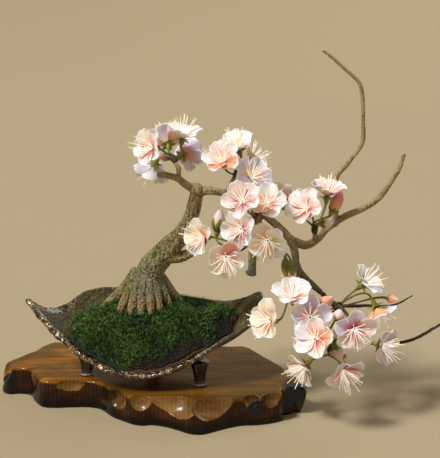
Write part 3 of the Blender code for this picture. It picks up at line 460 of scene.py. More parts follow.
def colour(name, description, red, green, blue):
    """A colour that a user can change, given as a picture colour."""
    return FloatVectorProperty(
        name=name, description=description, subtype="COLOR", size=3, min=0.0, max=1.0,
        default=linear(red, green, blue),
    )


class BonsaiColours(bpy.types.PropertyGroup):
    """Colours of the finishes."""

    white: colour("White", "White of the palest petals", 250, 246, 248)
    blush: colour("Blush", "Pale pink of most petals", 248, 224, 222)
    pink: colour("Pink", "Pink at the foot of the pinker petals", 232, 152, 154)
    peach: colour("Peach", "Peach at the foot of most petals", 240, 174, 142)
    salmon: colour("Salmon", "Salmon red of the warmest petals", 230, 128, 100)
    lavender: colour("Lavender", "Lavender white of the cooler petals", 222, 210, 236)
    cream: colour("Cream", "Cream white of the warmer petals", 248, 232, 204)
    yellow: colour("Yellow", "Yellow at the foot of some petals", 240, 196, 110)
    greenish: colour("Green yellow", "Green yellow at the foot of some petals", 200, 190, 96)
    magenta: colour("Magenta", "Deep pink around the middle of a bloom", 196, 84, 110)
    throat: colour("Throat", "Dark red of the middle of a bloom", 96, 22, 30)
    # Filament and anther colours also glow faintly on the stamens as painted light
    filament: colour("Filament", "Thread of a stamen", 255, 251, 242)
    anther: colour("Anther", "Yellow end of a stamen", 254, 240, 190)
    stalk: colour("Stalk", "Green of the flower stalks", 106, 112, 44)
    sepal: colour("Sepal", "Yellow green of the flower cups", 138, 146, 50)
    bark_light: colour("Bark light", "Ridges of the bark", 176, 156, 116)
    bark_dark: colour("Bark dark", "Furrows of the bark", 66, 53, 34)
    lichen: colour("Lichen", "Green film on the trunk", 124, 126, 54)
    moss_light: colour("Moss light", "Tips of the moss", 124, 186, 70)
    moss_dark: colour("Moss dark", "Depth of the moss", 9, 26, 10)
    soil: colour("Soil", "Potting soil", 30, 21, 14)
    glaze: colour("Glaze", "Outside of the tray", 14, 10, 8)
    tray_inside: colour("Tray inside", "Rough inside of the tray", 94, 83, 40)
    crust: colour("Crust", "Pale beads of glaze on the rim", 176, 150, 98)
    wood_light: colour("Wood light", "Pale bands of the slab", 178, 116, 28)
    wood_dark: colour("Wood dark", "Dark bands of the slab", 102, 60, 8)
    # Stain: a near black stain whose blue tint is a painted reflection
    stain: colour("Stain", "Near black stain in the carved places", 9, 19, 36)
    backdrop: colour("Floor", "Pale floor", 172, 156, 127)


# Letters that stand for the petals' colours in the tables
TINT_LETTERS = {
    "w": "white", "b": "blush", "p": "pink", "e": "peach", "s": "salmon",
    "l": "lavender", "c": "cream", "y": "yellow", "g": "greenish", "m": "magenta",
}


def sizes():
    return bpy.context.scene.bonsai_sizes


def colours():
    return bpy.context.scene.bonsai_colours


def tint(letter):
    """The colour that a letter of the tables stands for."""
    return tuple(getattr(colours(), TINT_LETTERS[letter]))


class Value:
    """A socket of a material, used in formulas written as Python."""

    def __init__(self, finish, socket):
        self.finish = finish
        self.socket = socket

    def maths(self, operation, first, second=0.0):
        node = self.finish.node(
            "Math", {"operation": operation}, {0: first, 1: second}
        )
        return Value(self.finish, node.outputs[0])

    def __add__(self, other):
        return self.maths("ADD", self, other)

    __radd__ = __add__

    def __mul__(self, other):
        return self.maths("MULTIPLY", self, other)

    __rmul__ = __mul__

    def __sub__(self, other):
        return self.maths("SUBTRACT", self, other)

    def __rsub__(self, other):
        return self.maths("SUBTRACT", other, self)

    def high(self, other):
        """The larger of the two."""
        return self.maths("MAXIMUM", self, other)

    def step(self, start, end):
        """0 at start, 1 at end, and smooth between them."""
        node = self.finish.node(
            "MapRange", {"interpolation_type": "SMOOTHSTEP"},
            {"Value": self, "From Min": start, "From Max": end},
        )
        return Value(self.finish, node.outputs[0])


class Finish:
    """A material made of one Principled shader and procedural nodes."""

    def __init__(self, name, **settings):
        self.material = bpy.data.materials.new(name)
        self.material.use_nodes = True
        self.tree = self.material.node_tree
        self.shader = self.tree.nodes["Principled BSDF"]
        for key, value in settings.items():
            socket = key.replace("_", " ").title().replace("Ior", "IOR")
            self.feed(self.shader.inputs[socket], value)

    def feed(self, socket, value):
        """Link a value to a socket, or set the socket to a number or colour."""
        if isinstance(value, Value):
            self.tree.links.new(value.socket, socket)
        elif socket.type == "RGBA" and len(value) == 3:
            socket.default_value = (*value, 1.0)
        else:
            socket.default_value = value

    def node(self, kind, settings=None, inputs=None):
        """Add a node of a type: its settings first, then values or links."""
        node = self.tree.nodes.new("ShaderNode" + kind)
        for key, value in (settings or {}).items():
            if key == "stops":
                self.set_stops(node.color_ramp, value)
            else:
                setattr(node, key, value)
        for key, value in (inputs or {}).items():
            self.feed(node.inputs[key], value)
        return node

    def set_stops(self, ramp, stops):
        while len(ramp.elements) < len(stops):
            ramp.elements.new(1.0)
        for element, (place, shade) in zip(ramp.elements, stops):
            element.position = place
            element.color = (*shade, 1.0)

    def out(self, node, socket=0):
        return Value(self, node.outputs[socket])

    def place(self):
        """Where a point of the surface is, in metres."""
        return self.out(self.node("TexCoord"), "Object")

    def attribute(self, name, output="Fac"):
        return self.out(self.node("Attribute", {"attribute_name": name}), output)

    def stretch(self, where, scale):
        node = self.node("VectorMath", {"operation": "MULTIPLY"}, {0: where, 1: scale})
        return self.out(node)

    def axes(self, where):
        node = self.node("SeparateXYZ", None, {0: where})
        return [self.out(node, index) for index in range(3)]

    def noise(self, where, scale, detail=4.0, rough=0.55, twist=0.0):
        node = self.node("TexNoise", None, {
            "Vector": where, "Scale": scale, "Detail": detail, "Roughness": rough,
            "Distortion": twist,
        })
        return self.out(node, "Fac")

    def cells(self, where, scale):
        node = self.node("TexVoronoi", None, {"Vector": where, "Scale": scale})
        return self.out(node, "Distance")

    def waves(self, where, scale, twist, detail_scale):
        node = self.node("TexWave", None, {
            "Vector": where, "Scale": scale, "Distortion": twist, "Detail": 3.0,
            "Detail Scale": detail_scale,
        })
        return self.out(node, "Fac")

    def ramp(self, value, *stops):
        return self.out(self.node("ValToRGB", {"stops": stops}, {0: value}))

    def mix(self, share, first, second):
        node = self.node(
            "Mix", {"data_type": "RGBA"}, {0: share, 6: first, 7: second}
        )
        return self.out(node, 2)

    def bump(self, height, depth, strength=1.0, under=None):
        inputs = {"Height": height, "Distance": depth, "Strength": strength}
        if under is not None:
            inputs["Normal"] = under
        return self.out(self.node("Bump", None, inputs))

    def end(self, colour, rough, normal, coat=None):
        """Feed the shader what changes over the surface, and give the material."""
        for socket, value in (
            ("Base Color", colour), ("Roughness", rough), ("Normal", normal),
            ("Coat Weight", coat),
        ):
            if value is not None:
                self.feed(self.shader.inputs[socket], value)
        return self.material


def slab_finish():
    """Figured amber wood under clear lacquer, stained dark where it's carved; painted shade and
    reflection darken blotches of the top, a painted shadow darkens the foot of the side, and the
    stain's blue tint is a painted reflection.
    """
    f = Finish("figured_lacquered_wood", coat_roughness=0.12, specular_ior_level=0.12)
    where = f.place()
    _, _, z = f.axes(where)
    c = colours()
    grain = f.noise(f.stretch(where, (18, 60, 40)), 1.0, 5, 0.6, 0.6)
    lines = f.noise(f.stretch(where, (14, 150, 60)), 1.0, 4, 0.55, 0.5)
    tiger = f.waves(f.stretch(where, (1, 0.12, 0.25)), 110, 4.2, 0.9)
    fine = f.waves(f.stretch(where, (1, 0.10, 0.2)), 300, 4.0, 1.2)
    shade = grain * 0.58 + lines * 0.38 + tiger * 0.025 + fine * 0.015
    wood = f.ramp(
        shade, (0.34, linear(66, 40, 6)), (0.44, tuple(c.wood_dark)),
        (0.52, linear(134, 84, 14)), (0.62, tuple(c.wood_light)),
    )
    upper = (z + (grain - 0.5) * 0.004).step(0.0172, 0.0188)
    side = f.ramp(
        tiger * 0.06 + fine * 0.05 + grain * 0.5 + lines * 0.4, (0.36, linear(9, 4, 3)),
        (0.50, linear(40, 19, 9)), (0.66, linear(88, 44, 18)),
    )
    wood = f.mix(upper, side, wood)
    # Painted shade and reflection: large blotches over the top are darkened.
    middle = f.noise(where, 9, 2)
    wood = f.mix(middle.step(0.42, 0.62) * upper * 0.7, wood, linear(66, 46, 12))
    hollow = f.attribute("hollow")
    scoop = f.ramp(
        grain * 0.5 + lines * 0.47 + tiger * 0.03, (0.38, linear(56, 34, 14)),
        (0.50, linear(106, 74, 34)), (0.62, linear(154, 116, 64)),
    )
    scooped = (hollow + (lines - 0.5) * 0.3).step(0.3, 0.6) * z.step(0.003, 0.010)
    wood = f.mix(scooped * 0.85, wood, scoop)
    dark = f.attribute("stain")
    blot = f.noise(where, 130, 4, 0.6)
    dark = (dark + (blot - 0.5) * 1.1 + (grain - 0.5) * 0.8).step(0.40, 0.60)
    # The stain is near black; its blue tint is a painted reflection on the glossy stained places.
    wood = f.mix(dark, wood, f.mix(blot, linear(5, 5, 8), tuple(c.stain)))
    # Painted shadow: the lowest part of the side goes near black toward the floor.
    foot = z.step(0.009, 0.002)
    wood = f.mix(foot * 0.9, wood, linear(7, 4, 3))
    waves = f.noise(where, 55, 2)
    pores = f.noise(f.stretch(where, (70, 500, 200)), 1.0, 2)
    normal = f.bump(waves, 0.0009, 0.4)
    rough = 0.16 + pores * 0.12 + (1 - upper) * 0.06
    return f.end(wood, rough, normal, 0.26 + dark * 0.3 - scooped * 0.1)


def tray_finish():
    """Dark glaze outside, rough streaked clay inside, a crust of pale beads on the rim."""
    f = Finish("crusted_dark_glaze", coat_roughness=0.08)
    where = f.place()
    x, y, z = f.axes(where)
    c = colours()
    inner = f.attribute("inner")
    crust = f.attribute("crust")
    streaks = f.noise(f.stretch(where, (90, 90, 40)), 3.6, 6, 0.7, 1.2)
    specks = f.noise(where, 700, 3, 0.6)
    inside = f.ramp(
        streaks * 0.75 + specks * 0.25, (0.34, linear(18, 14, 7)), (0.45, linear(62, 52, 24)),
        (0.56, tuple(c.tray_inside)), (0.70, linear(150, 134, 76)),
    )
    sheen = f.noise(f.stretch(where, (40, 40, 160)), 2.0, 4, 0.6, 0.8)
    outside = f.ramp(
        sheen, (0.30, linear(5, 4, 4)), (0.60, tuple(c.glaze)), (0.85, linear(44, 32, 20)),
    )
    body = f.mix(inner, outside, inside)
    beads = f.cells(where, 430)
    lumps = f.noise(where, 300, 5, 0.7, 1.0)
    patchy = f.noise(where, 70, 3, 0.6)
    rim = f.ramp(
        beads * 0.25 + lumps * 0.9 + (patchy - 0.5) * 0.4, (0.36, linear(232, 220, 190)),
        (0.45, tuple(c.crust)), (0.52, linear(122, 92, 50)), (0.60, linear(38, 26, 16)),
        (0.80, linear(12, 9, 8)),
    )
    front = y.step(0.045, 0.0) * 0.6 + x.step(-0.02, -0.08) * 0.35
    edge = (crust * (0.4 + front) + (lumps - 0.5) * 0.5).step(0.35, 0.6)
    body = f.mix(edge, body, rim)
    bisque = z.step(0.0222, 0.0214)
    body = f.mix(bisque, body, linear(206, 204, 200))
    matt = (inner * (1 - edge)).high(bisque)
    rough = 0.16 + matt * 0.55 + specks * 0.08
    fine = f.bump(beads, 0.0007, 0.9, f.bump(streaks, 0.0009, 0.6))
    normal = f.bump(specks, 0.0002, 0.5, fine)
    return f.end(body, rough, normal, (1 - matt) * 0.8)


def soil_finish():
    """Dark crumbly potting soil."""
    f = Finish("potting_soil", roughness=0.95)
    where = f.place()
    c = colours()
    crumbs = f.cells(where, 620)
    patches = f.noise(where, 70, 5, 0.65)
    shade = f.ramp(
        crumbs * 0.5 + patches * 0.7, (0.35, linear(7, 5, 4)), (0.62, tuple(c.soil)),
        (0.95, linear(56, 38, 24)),
    )
    green = f.noise(where, 130, 4).step(0.52, 0.66)
    shade = f.mix(green * 0.45, shade, linear(44, 56, 22))
    normal = f.bump(crumbs, 0.0008, 1.0, f.bump(patches, 0.001, 0.6))
    return f.end(shade, None, normal)


def moss_finish():
    """Shaggy moss, dark green in its depth and lighter at the tips."""
    f = Finish("shaggy_moss", roughness=0.85)
    where = f.place()
    c = colours()
    tip = f.attribute("tip")
    patches = f.noise(where, 45, 5, 0.65)
    grains = f.noise(where, 480, 4, 0.7)
    deep = f.ramp(
        patches, (0.35, linear(6, 9, 4)), (0.48, tuple(c.moss_dark)),
        (0.60, linear(16, 40, 15)), (0.75, linear(40, 56, 20)),
    )
    light = f.ramp(
        grains * 0.8 + patches * 0.3, (0.45, linear(14, 24, 8)), (0.52, linear(46, 116, 36)),
        (0.58, tuple(c.moss_light)), (0.66, linear(214, 226, 130)),
    )
    shade = f.mix(tip, deep, light)
    brown = f.attribute("brown")
    shade = f.mix(brown, shade, f.mix(grains, linear(20, 14, 8), linear(84, 62, 34)))
    normal = f.bump(grains, 0.0006, 0.8)
    return f.end(shade, None, normal)


def bark_finish():
    """Furrowed bark: green film on the trunk, grey by its foot; painted shade darkens the low
    branches, the gaps between the roots and the concave creases, and painted highlight lightens
    convex edges.
    """
    f = Finish("furrowed_bark")
    where = f.place()
    x, _, z = f.axes(where)
    c = colours()
    furrow = f.attribute("furrow")
    fibres = f.noise(f.stretch(where, (1, 1, 0.4)), 520, 6, 0.74, 0.8)
    patches = f.noise(where, 75, 4, 0.6)
    specks = f.noise(where, 1500, 3, 0.6)
    # Pointiness adds painted shade in concave creases and painted highlight on convex edges, in
    # the colour and the bump.
    point = f.out(f.node("NewGeometry"), "Pointiness").step(0.38, 0.62)
    height = fibres * 0.70 + furrow * 0.20 + specks * 0.20 + (point - 0.5) * 0.60 - 0.07
    calm = 1 - z.step(0.155, 0.135) * x.step(0.050, 0.040)
    height = height + (0.53 - height) * calm * 0.5
    shade = f.ramp(
        height, (0.31, linear(24, 17, 11)), (0.39, tuple(c.bark_dark)),
        (0.47, linear(114, 98, 62)), (0.59, tuple(c.bark_light)),
        (0.70, linear(208, 194, 160)),
    )
    shade = f.mix(patches.step(0.45, 0.65) * 0.4, shade, linear(104, 86, 58))
    face_x, _, face_z = f.axes(f.out(f.node("NewGeometry"), "Normal"))
    trunk = z.step(0.145, 0.115) * z.step(0.062, 0.074) * x.step(0.045, 0.028)
    blots = f.noise(where, 230, 6, 0.75)
    film = (face_z * 0.35 + face_x * -0.35 + blots * 1.5 + fibres * 0.5).step(0.95, 1.25)
    green = f.mix(fibres.step(0.42, 0.58), linear(40, 40, 18), tuple(c.lichen))
    shade = f.mix(film * trunk * 0.7, shade, green)
    roots = z.step(0.084, 0.074)
    shade = f.mix(roots * height.step(0.40, 0.60) * 0.4, shade, linear(170, 142, 98))
    collar = z.step(0.070, 0.080) * z.step(0.108, 0.094) * x.step(-0.014, 0.004)
    shade = f.mix(collar * blots.step(0.36, 0.60) * 0.65, shade, linear(112, 120, 110))
    # Painted shade: the gaps between the roots are darkened near black.
    shade = f.mix(f.attribute("gap") * 0.88, shade, linear(22, 16, 10))
    cut = x.step(0.071, 0.074) * x.step(0.086, 0.083) * z.step(0.106, 0.098)
    shade = f.mix(cut * 0.55, shade, linear(112, 120, 118))
    # Painted shade: the low branches to the right are darkened.
    low_branch_shade = z.step(0.128, 0.10) * x.step(0.098, 0.11)
    shade = f.mix(low_branch_shade * 0.35, shade, linear(52, 38, 26))
    normal = f.bump(height, 0.0011, 0.9)
    rough = 0.72 + specks * 0.25
    return f.end(shade, rough, normal)


def petal_finish():
    """Soft petal, deeper at its foot, with fine veins and a paler edge."""
    f = Finish(
        "soft_petal", subsurface_weight=0.22, subsurface_scale=0.002,
        subsurface_radius=(1.0, 0.45, 0.35), sheen_weight=0.12,
    )
    place = f.attribute("place", "Vector")
    across, along, _ = f.axes(place)
    side = across.maths("ABSOLUTE", across)
    deep = f.attribute("deep", "Color")
    pale = f.attribute("pale", "Color")
    fan = f.stretch(place, (7.0, 0.9, 9.0))
    veins = f.noise(fan, 1.6, 3, 0.6, 0.2)
    clouds = f.noise(f.stretch(place, (1.2, 1.5, 5.0)), 1.5, 3, 0.5)
    reach = along + (veins - 0.5) * 0.22 + (clouds - 0.5) * 0.3 + side * 0.10
    shade = f.mix(reach.step(0.16, 0.76), deep, pale)
    shade = f.mix((veins.step(0.52, 0.70) * along.step(0.8, 0.2)) * 0.25, shade, deep)
    rim = (side * along.step(0.1, 0.5)).high(along).step(0.72, 0.96)
    shade = f.mix(rim * 0.85, shade, tuple(colours().white))
    heart = (along + (veins - 0.5) * 0.10).step(0.17, 0.04)
    shade = f.mix(heart * 0.85, shade, tuple(colours().throat))
    normal = f.bump(veins, 0.0004, 0.5)
    return f.end(shade, 0.48 + veins * 0.2, normal)


def thread_finish(name, base, other, rough, painted_glow=0.0):
    """Small plain growth with a soft change of colour along it, which can glow faintly in its base
    colour as painted light.
    """
    f = Finish(name, emission_color=base, emission_strength=painted_glow)
    where = f.place()
    clouds = f.noise(where, 260, 4, 0.6)
    fine = f.noise(where, 1800, 2)
    shade = f.mix((clouds * 1.1 + fine * 0.3 - 0.2).step(0.3, 0.75), base, other)
    return f.end(shade, rough + fine * 0.15, f.bump(fine, 0.0001, 0.4))


def stalk_finish():
    """Green stalk, browner by the wood and yellower at the flower cups."""
    f = Finish("green_stalk", subsurface_weight=0.08, subsurface_scale=0.001)
    where = f.place()
    c = colours()
    along = f.attribute("along")
    clouds = f.noise(where, 240, 4, 0.6)
    fine = f.noise(f.stretch(where, (1, 1, 0.4)), 1600, 3)
    shade = f.ramp(
        along + (clouds - 0.5) * 0.5, (0.05, linear(70, 52, 30)), (0.25, linear(82, 78, 34)),
        (0.55, tuple(c.stalk)), (0.95, tuple(c.sepal)),
    )
    blushes = f.noise(where, 110, 2).step(0.55, 0.72)
    shade = f.mix(blushes * 0.4, shade, linear(138, 82, 44))
    return f.end(shade, 0.42 + fine * 0.2, f.bump(fine, 0.0002, 0.5))


def floor_finish():
    """Plain pale matt floor with a barely seen tooth."""
    f = Finish("pale_floor", roughness=1.0, specular_ior_level=0.1)
    where = f.place()
    grain = f.noise(where, 14, 5, 0.6)
    base = tuple(colours().backdrop)
    shade = f.mix(grain * 0.10, base, tuple(value * 0.8 for value in base))
    return f.end(shade, None, f.bump(grain, 0.0003, 0.1))


class Stock:
    """Points and faces gathered for one mesh, with what its material reads."""

    def __init__(self):
        self.points = []
        self.faces = []
        self.slots = []
        self.notes = {}
        self.total = 0

    def add(self, points, faces, slot=0, **notes):
        """Add points and faces; a note is one value for all points, or one each."""
        start = self.total
        count = len(points)
        self.points.append(np.asarray(points, dtype=np.float64).reshape(-1, 3))
        self.faces.extend(tuple(start + index for index in face) for face in faces)
        self.slots.extend([slot] * len(faces))
        for name, value in notes.items():
            value = np.asarray(value, dtype=np.float64)
            each = value.ndim > 0 and len(value) == count and value.shape != (3,)
            rows = value if each else np.tile(value, (count, 1)).reshape(count, -1)
            self.notes.setdefault(name, []).append((start, rows.reshape(count, -1)))
        self.total += count

    def make(self, name, finishes, smooth=True):
        """The object made of everything gathered."""
        mesh = bpy.data.meshes.new(name)
        points = np.concatenate(self.points)
        mesh.from_pydata(points.tolist(), [], self.faces)
        for finish in finishes:
            mesh.materials.append(finish)
        mesh.polygons.foreach_set("material_index", self.slots)
        for note, runs in self.notes.items():
            self.write_note(mesh, note, runs)
        if smooth:
            mesh.shade_smooth()
        mesh.update()
        item = bpy.data.objects.new(name, mesh)
        bpy.context.scene.collection.objects.link(item)
        return item

    def write_note(self, mesh, note, runs):
        width = runs[0][1].shape[1]
        values = np.zeros((self.total, width))
        for start, rows in runs:
            values[start:start + len(rows)] = rows
        if width == 1:
            layer = mesh.attributes.new(note, "FLOAT", "POINT")
            layer.data.foreach_set("value", values.ravel())
        elif note in ("deep", "pale"):
            layer = mesh.attributes.new(note, "FLOAT_COLOR", "POINT")
            solid = np.hstack([values, np.ones((self.total, 1))])
            layer.data.foreach_set("color", solid.ravel())
        else:
            layer = mesh.attributes.new(note, "FLOAT_VECTOR", "POINT")
            layer.data.foreach_set("vector", values.ravel())


def wall_faces(rows, around, turned=False):
    """Faces between rows of points that each run once round; turned, they face in."""
    faces = []
    for row in range(rows - 1):
        for index in range(around):
            a, b = row * around + index, row * around + (index + 1) % around
            faces.append(
                (a, a + around, b + around, b) if turned else (a, b, b + around, a + around)
            )
    return faces


def lid(row, around, turned=False):
    """One face over a row of points; turned, its points run the other way."""
    points = range(row * around, (row + 1) * around)
    return tuple(reversed(points)) if turned else tuple(points)


def tube_faces(rows, around):
    """Faces of a tube and of its two ends."""
    return wall_faces(rows, around) + [lid(0, around, True), lid(rows - 1, around)]


def keep(item, slot, *nodes):
    """Press a finished piece into the solid model's box, hang it on the root body and hide the
    solids that it stands for.
    """
    hold_inside(item)
    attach(item, "root")
    if nodes:
        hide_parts(*nodes)
    return item


def hold_inside(item):
    """Press any point outside the solid model's box back onto the box."""
    mesh = item.data
    points = np.zeros(len(mesh.vertices) * 3)
    mesh.vertices.foreach_get("co", points)
    points = points.reshape(-1, 3)
    held = np.clip(points, CAD_BOX[0], CAD_BOX[1])
    if not np.allclose(points, held):
        mesh.vertices.foreach_set("co", held.ravel())
        mesh.update()


def note_points(item, name, values):
    """Write one number for each point of a mesh, for its material to read."""
    layer = item.data.attributes.new(name, "FLOAT", "POINT")
    layer.data.foreach_set("value", np.asarray(values, dtype=np.float64))


def baked(item):
    """Apply the modifiers of an object."""
    bpy.context.view_layer.update()
    graph = bpy.context.evaluated_depsgraph_get()
    mesh = bpy.data.meshes.new_from_object(item.evaluated_get(graph))
    item.modifiers.clear()
    item.data = mesh
    return item


def smooth_line(points, per=5, closed=False):
    """A Catmull-Rom curve through rows of numbers."""
    rows = np.asarray(points, dtype=np.float64)
    count = len(rows)
    if closed:
        spans = count
        around = [
            rows[(index + shift) % count] for index in range(count) for shift in (-1, 0, 1, 2)
        ]
    else:
        spans = count - 1
        padded = np.vstack([2 * rows[0] - rows[1], rows, 2 * rows[-1] - rows[-2]])
        around = [padded[index + shift] for index in range(spans) for shift in range(4)]
    around = np.array(around).reshape(spans, 4, -1)
    line = []
    for a, b, c, d in around:
        for step in range(per):
            t = step / per
            line.append(0.5 * (
                2 * b + (c - a) * t + (2 * a - 5 * b + 4 * c - d) * t * t
                + (3 * b - a - 3 * c + d) * t ** 3
            ))
    if not closed:
        line.append(rows[-1])
    return np.array(line)


def between(rings, rows, places):
    """Points at fractions of a row and of the way round, on rings of points."""
    row = np.minimum(rows.astype(int), len(rings) - 2)
    index = places.astype(int) % rings.shape[1]
    after = (index + 1) % rings.shape[1]
    up, along = (rows - row)[:, None], (places - places.astype(int))[:, None]
    low = rings[row, index] * (1 - along) + rings[row, after] * along
    high = rings[row + 1, index] * (1 - along) + rings[row + 1, after] * along
    return low * (1 - up) + high * up


def smoothstep(value, start, end):
    """0 at start, 1 at end, and smooth between them."""
    t = np.clip((np.asarray(value) - start) / (end - start), 0.0, 1.0)
    return t * t * (3 - 2 * t)


def swell(at, *layers):
    """A smooth random height at a place: the sum of layers of scale and share."""
    return sum(noise.noise(at * scale) * share for scale, share in layers)


def frames_along(points):
    """Two cross directions at each point of a line, turning as little as they can."""
    lines = []
    count = len(points)
    ahead = Vector(points[1] - points[0]).normalized()
    side = ahead.orthogonal().normalized()
    for index in range(count):
        before = points[max(index - 1, 0)]
        after = points[min(index + 1, count - 1)]
        step = Vector(after - before).normalized()
        side = (side - step * side.dot(step)).normalized()
        lines.append((side.copy(), step.cross(side)))
    return lines


def rod(stock, line, radii, mesh, slot=0, lumps=6.0, **notes):
    """A round rod along a line of metre points, with its ends closed."""
    sides, rough = mesh
    count = len(line)
    places = []
    for index, (side, up) in enumerate(frames_along(line)):
        middle = Vector(line[index])
        for corner in range(sides):
            angle = 2 * math.pi * corner / sides
            arm = side * math.cos(angle) + up * math.sin(angle)
            radius = radii[index]
            if rough:
                radius *= 1 + rough * ridge(angle, index / lumps, middle)
            places.append(middle + arm * radius)
    each = {}
    for name, value in notes.items():
        value = np.asarray(value, dtype=np.float64)
        each[name] = np.repeat(value, sides) if value.ndim and len(value) == count else value
    stock.add([tuple(place) for place in places], tube_faces(count, sides), slot, **each)


def ridge(angle, climb, middle):
    """Long furrows that wander round a stem."""
    at = Vector((math.cos(angle) * 2.2, math.sin(angle) * 2.2, climb)) + middle * 40
    fine = Vector((math.cos(angle) * 5.0, math.sin(angle) * 5.0, climb * 1.6)) + middle * 90
    return noise.noise(at) + 0.55 * noise.noise(fine)


def bead(stock, middle, ahead, radius, length, slot, **notes):
    """A small long bead."""
    turn = Vector((0, 0, 1)).rotation_difference(ahead)
    places = [middle - ahead * length]
    for climb, share in ((-0.5, 0.85), (0.45, 0.9)):
        for corner in range(5):
            angle = 2 * math.pi * corner / 5
            arm = Vector((math.cos(angle), math.sin(angle), 0)) * radius * share
            places.append(middle + turn @ arm + ahead * length * climb)
    places.append(middle + ahead * length)
    faces = []
    for corner in range(5):
        after = (corner + 1) % 5
        faces.append((0, 1 + after, 1 + corner))
        faces.append((1 + corner, 1 + after, 6 + after, 6 + corner))
        faces.append((6 + corner, 6 + after, 11))
    stock.add([tuple(place) for place in places], faces, slot, **notes)


def blade(stock, grid, thickness, slot=0, **notes):
    """A thin closed leaf: grid is rows by columns of points, notes one value a point."""
    rows, columns, _ = grid.shape
    up = np.gradient(grid, axis=0)
    across = np.gradient(grid, axis=1)
    normal = np.cross(across, up)
    length = np.linalg.norm(normal, axis=2, keepdims=True)
    normal = normal / np.maximum(length, 1e-12)
    back = grid - normal * thickness
    points = np.concatenate([grid.reshape(-1, 3), back.reshape(-1, 3)])
    half = rows * columns

    def at(row, column, side):
        return side * half + row * columns + column

    faces = []
    for row in range(rows - 1):
        for column in range(columns - 1):
            a, b = at(row, column, 0), at(row, column + 1, 0)
            c, d = at(row + 1, column + 1, 0), at(row + 1, column, 0)
            faces.append((a, b, c, d))
            faces.append((a + half, d + half, c + half, b + half))
    edge = [(0, column) for column in range(columns)]
    edge += [(row, columns - 1) for row in range(1, rows)]
    edge += [(rows - 1, column) for column in range(columns - 2, -1, -1)]
    edge += [(row, 0) for row in range(rows - 2, 0, -1)]
    for index, (row, column) in enumerate(edge):
        after = edge[(index + 1) % len(edge)]
        a, b = at(row, column, 0), at(*after, 0)
        faces.append((b, a, a + half, b + half))
    both = {}
    for name, value in notes.items():
        value = np.asarray(value, dtype=np.float64)
        if value.ndim > 1:
            flat = value.reshape(rows * columns, -1)
            value = np.concatenate([flat, flat])
        both[name] = value
    stock.add(points, faces, slot, **both)


def stand(direction):
    """Two cross directions and the direction itself, as the rows of a matrix."""
    ahead = Vector(direction).normalized()
    side = ahead.orthogonal().normalized()
    return np.array([side, ahead.cross(side), ahead])


def slab_rings():
    """Rows of points up the slab's side, then in over its flat top to its middle."""
    outline = smooth_line(SLAB_OUTLINE, SLAB_SPAN, closed=True)
    middle = np.array(SLAB_MIDDLE)
    ahead = np.roll(outline, -1, axis=0) - np.roll(outline, 1, axis=0)
    inward = np.stack([ahead[:, 1], -ahead[:, 0]], axis=1)
    inward /= np.linalg.norm(inward, axis=1, keepdims=True)
    if np.sum(inward[0] * (middle[:2] - outline[0])) < 0:
        inward = -inward
    rings = []
    for inset, height in SLAB_ROWS:
        ring = []
        for (x, y), (a, b) in zip(outline, inward):
            wave = noise.noise(Vector((x * 0.10, y * 0.10, height * 0.16)))
            wave += 0.5 * noise.noise(Vector((x * 0.3, y * 0.3, height * 0.3)))
            knob = float(smoothstep(x, 100, 108))
            roll = 0.6 + 1.8 * float(smoothstep(-x, 20, 40)) + 0.8 * wave + 1.6 * knob
            amount = inset + (0.9 + wave) * 0.7 * math.sin(math.pi * height / SLAB_HEIGHT)
            amount += roll * max(0.0, (height - 10) / 10) ** 2.4
            amount += 5.0 * knob * max(0.0, (13 - height) / 13) ** 1.5
            amount = min(amount, SLAB_DEEPEST)
            ring.append((x + a * amount, y + b * amount, height))
        rings.append(np.array(ring))
    for share in SLAB_TOP_SHARES:
        rings.append(middle + (rings[len(SLAB_ROWS) - 1] - middle) * share)
    return rings


class BONSAI_OT_slab(bpy.types.Operator):
    """Make the polished slab with its carved edge"""

    bl_idname = "bonsai.slab"
    bl_label = "Wooden slab"

    def execute(self, context):
        rings = slab_rings()
        count = len(rings[0])
        places = np.concatenate([*rings, [SLAB_MIDDLE]])
        faces = [lid(0, count, True), *wall_faces(len(rings), count)]
        last = (len(rings) - 1) * count
        for index in range(count):
            faces.append((last + index, last + (index + 1) % count, len(places) - 1))
        hollow = np.zeros(len(places))
        for middle, size in SLAB_HOLLOWS:
            offset = (places - middle) / size
            reach = np.linalg.norm(offset, axis=1)
            inside = reach < 1
            places[inside] = middle + (offset / reach[:, None] * size)[inside]
            hollow[inside] = 1.0
        stain = np.zeros(len(places))
        for middle, size in SLAB_STAINS:
            reach = np.linalg.norm(places - np.array(middle), axis=1) / size
            stain = np.maximum(stain, 1 - smoothstep(reach, 0.5, 1.4))
        stock = Stock()
        stock.add(places * MM, faces, 0, hollow=hollow, stain=stain)
        keep(stock.make("slab_wood", [slab_finish()]), "lacquered_wood", "display_slab")
        return {"FINISHED"}


def tray_point(rim, outward):
    """A point of the tray's inner surface in millimetres; rim is a row of points."""
    floor = np.array(TRAY_FLOOR)
    share = np.broadcast_to(outward, rim.shape[:-1])
    point = floor + (rim - floor) * share[..., None]
    point[..., 2] = floor[2] + (rim[..., 2] - floor[2]) * share ** TRAY_CLIMB
    return point


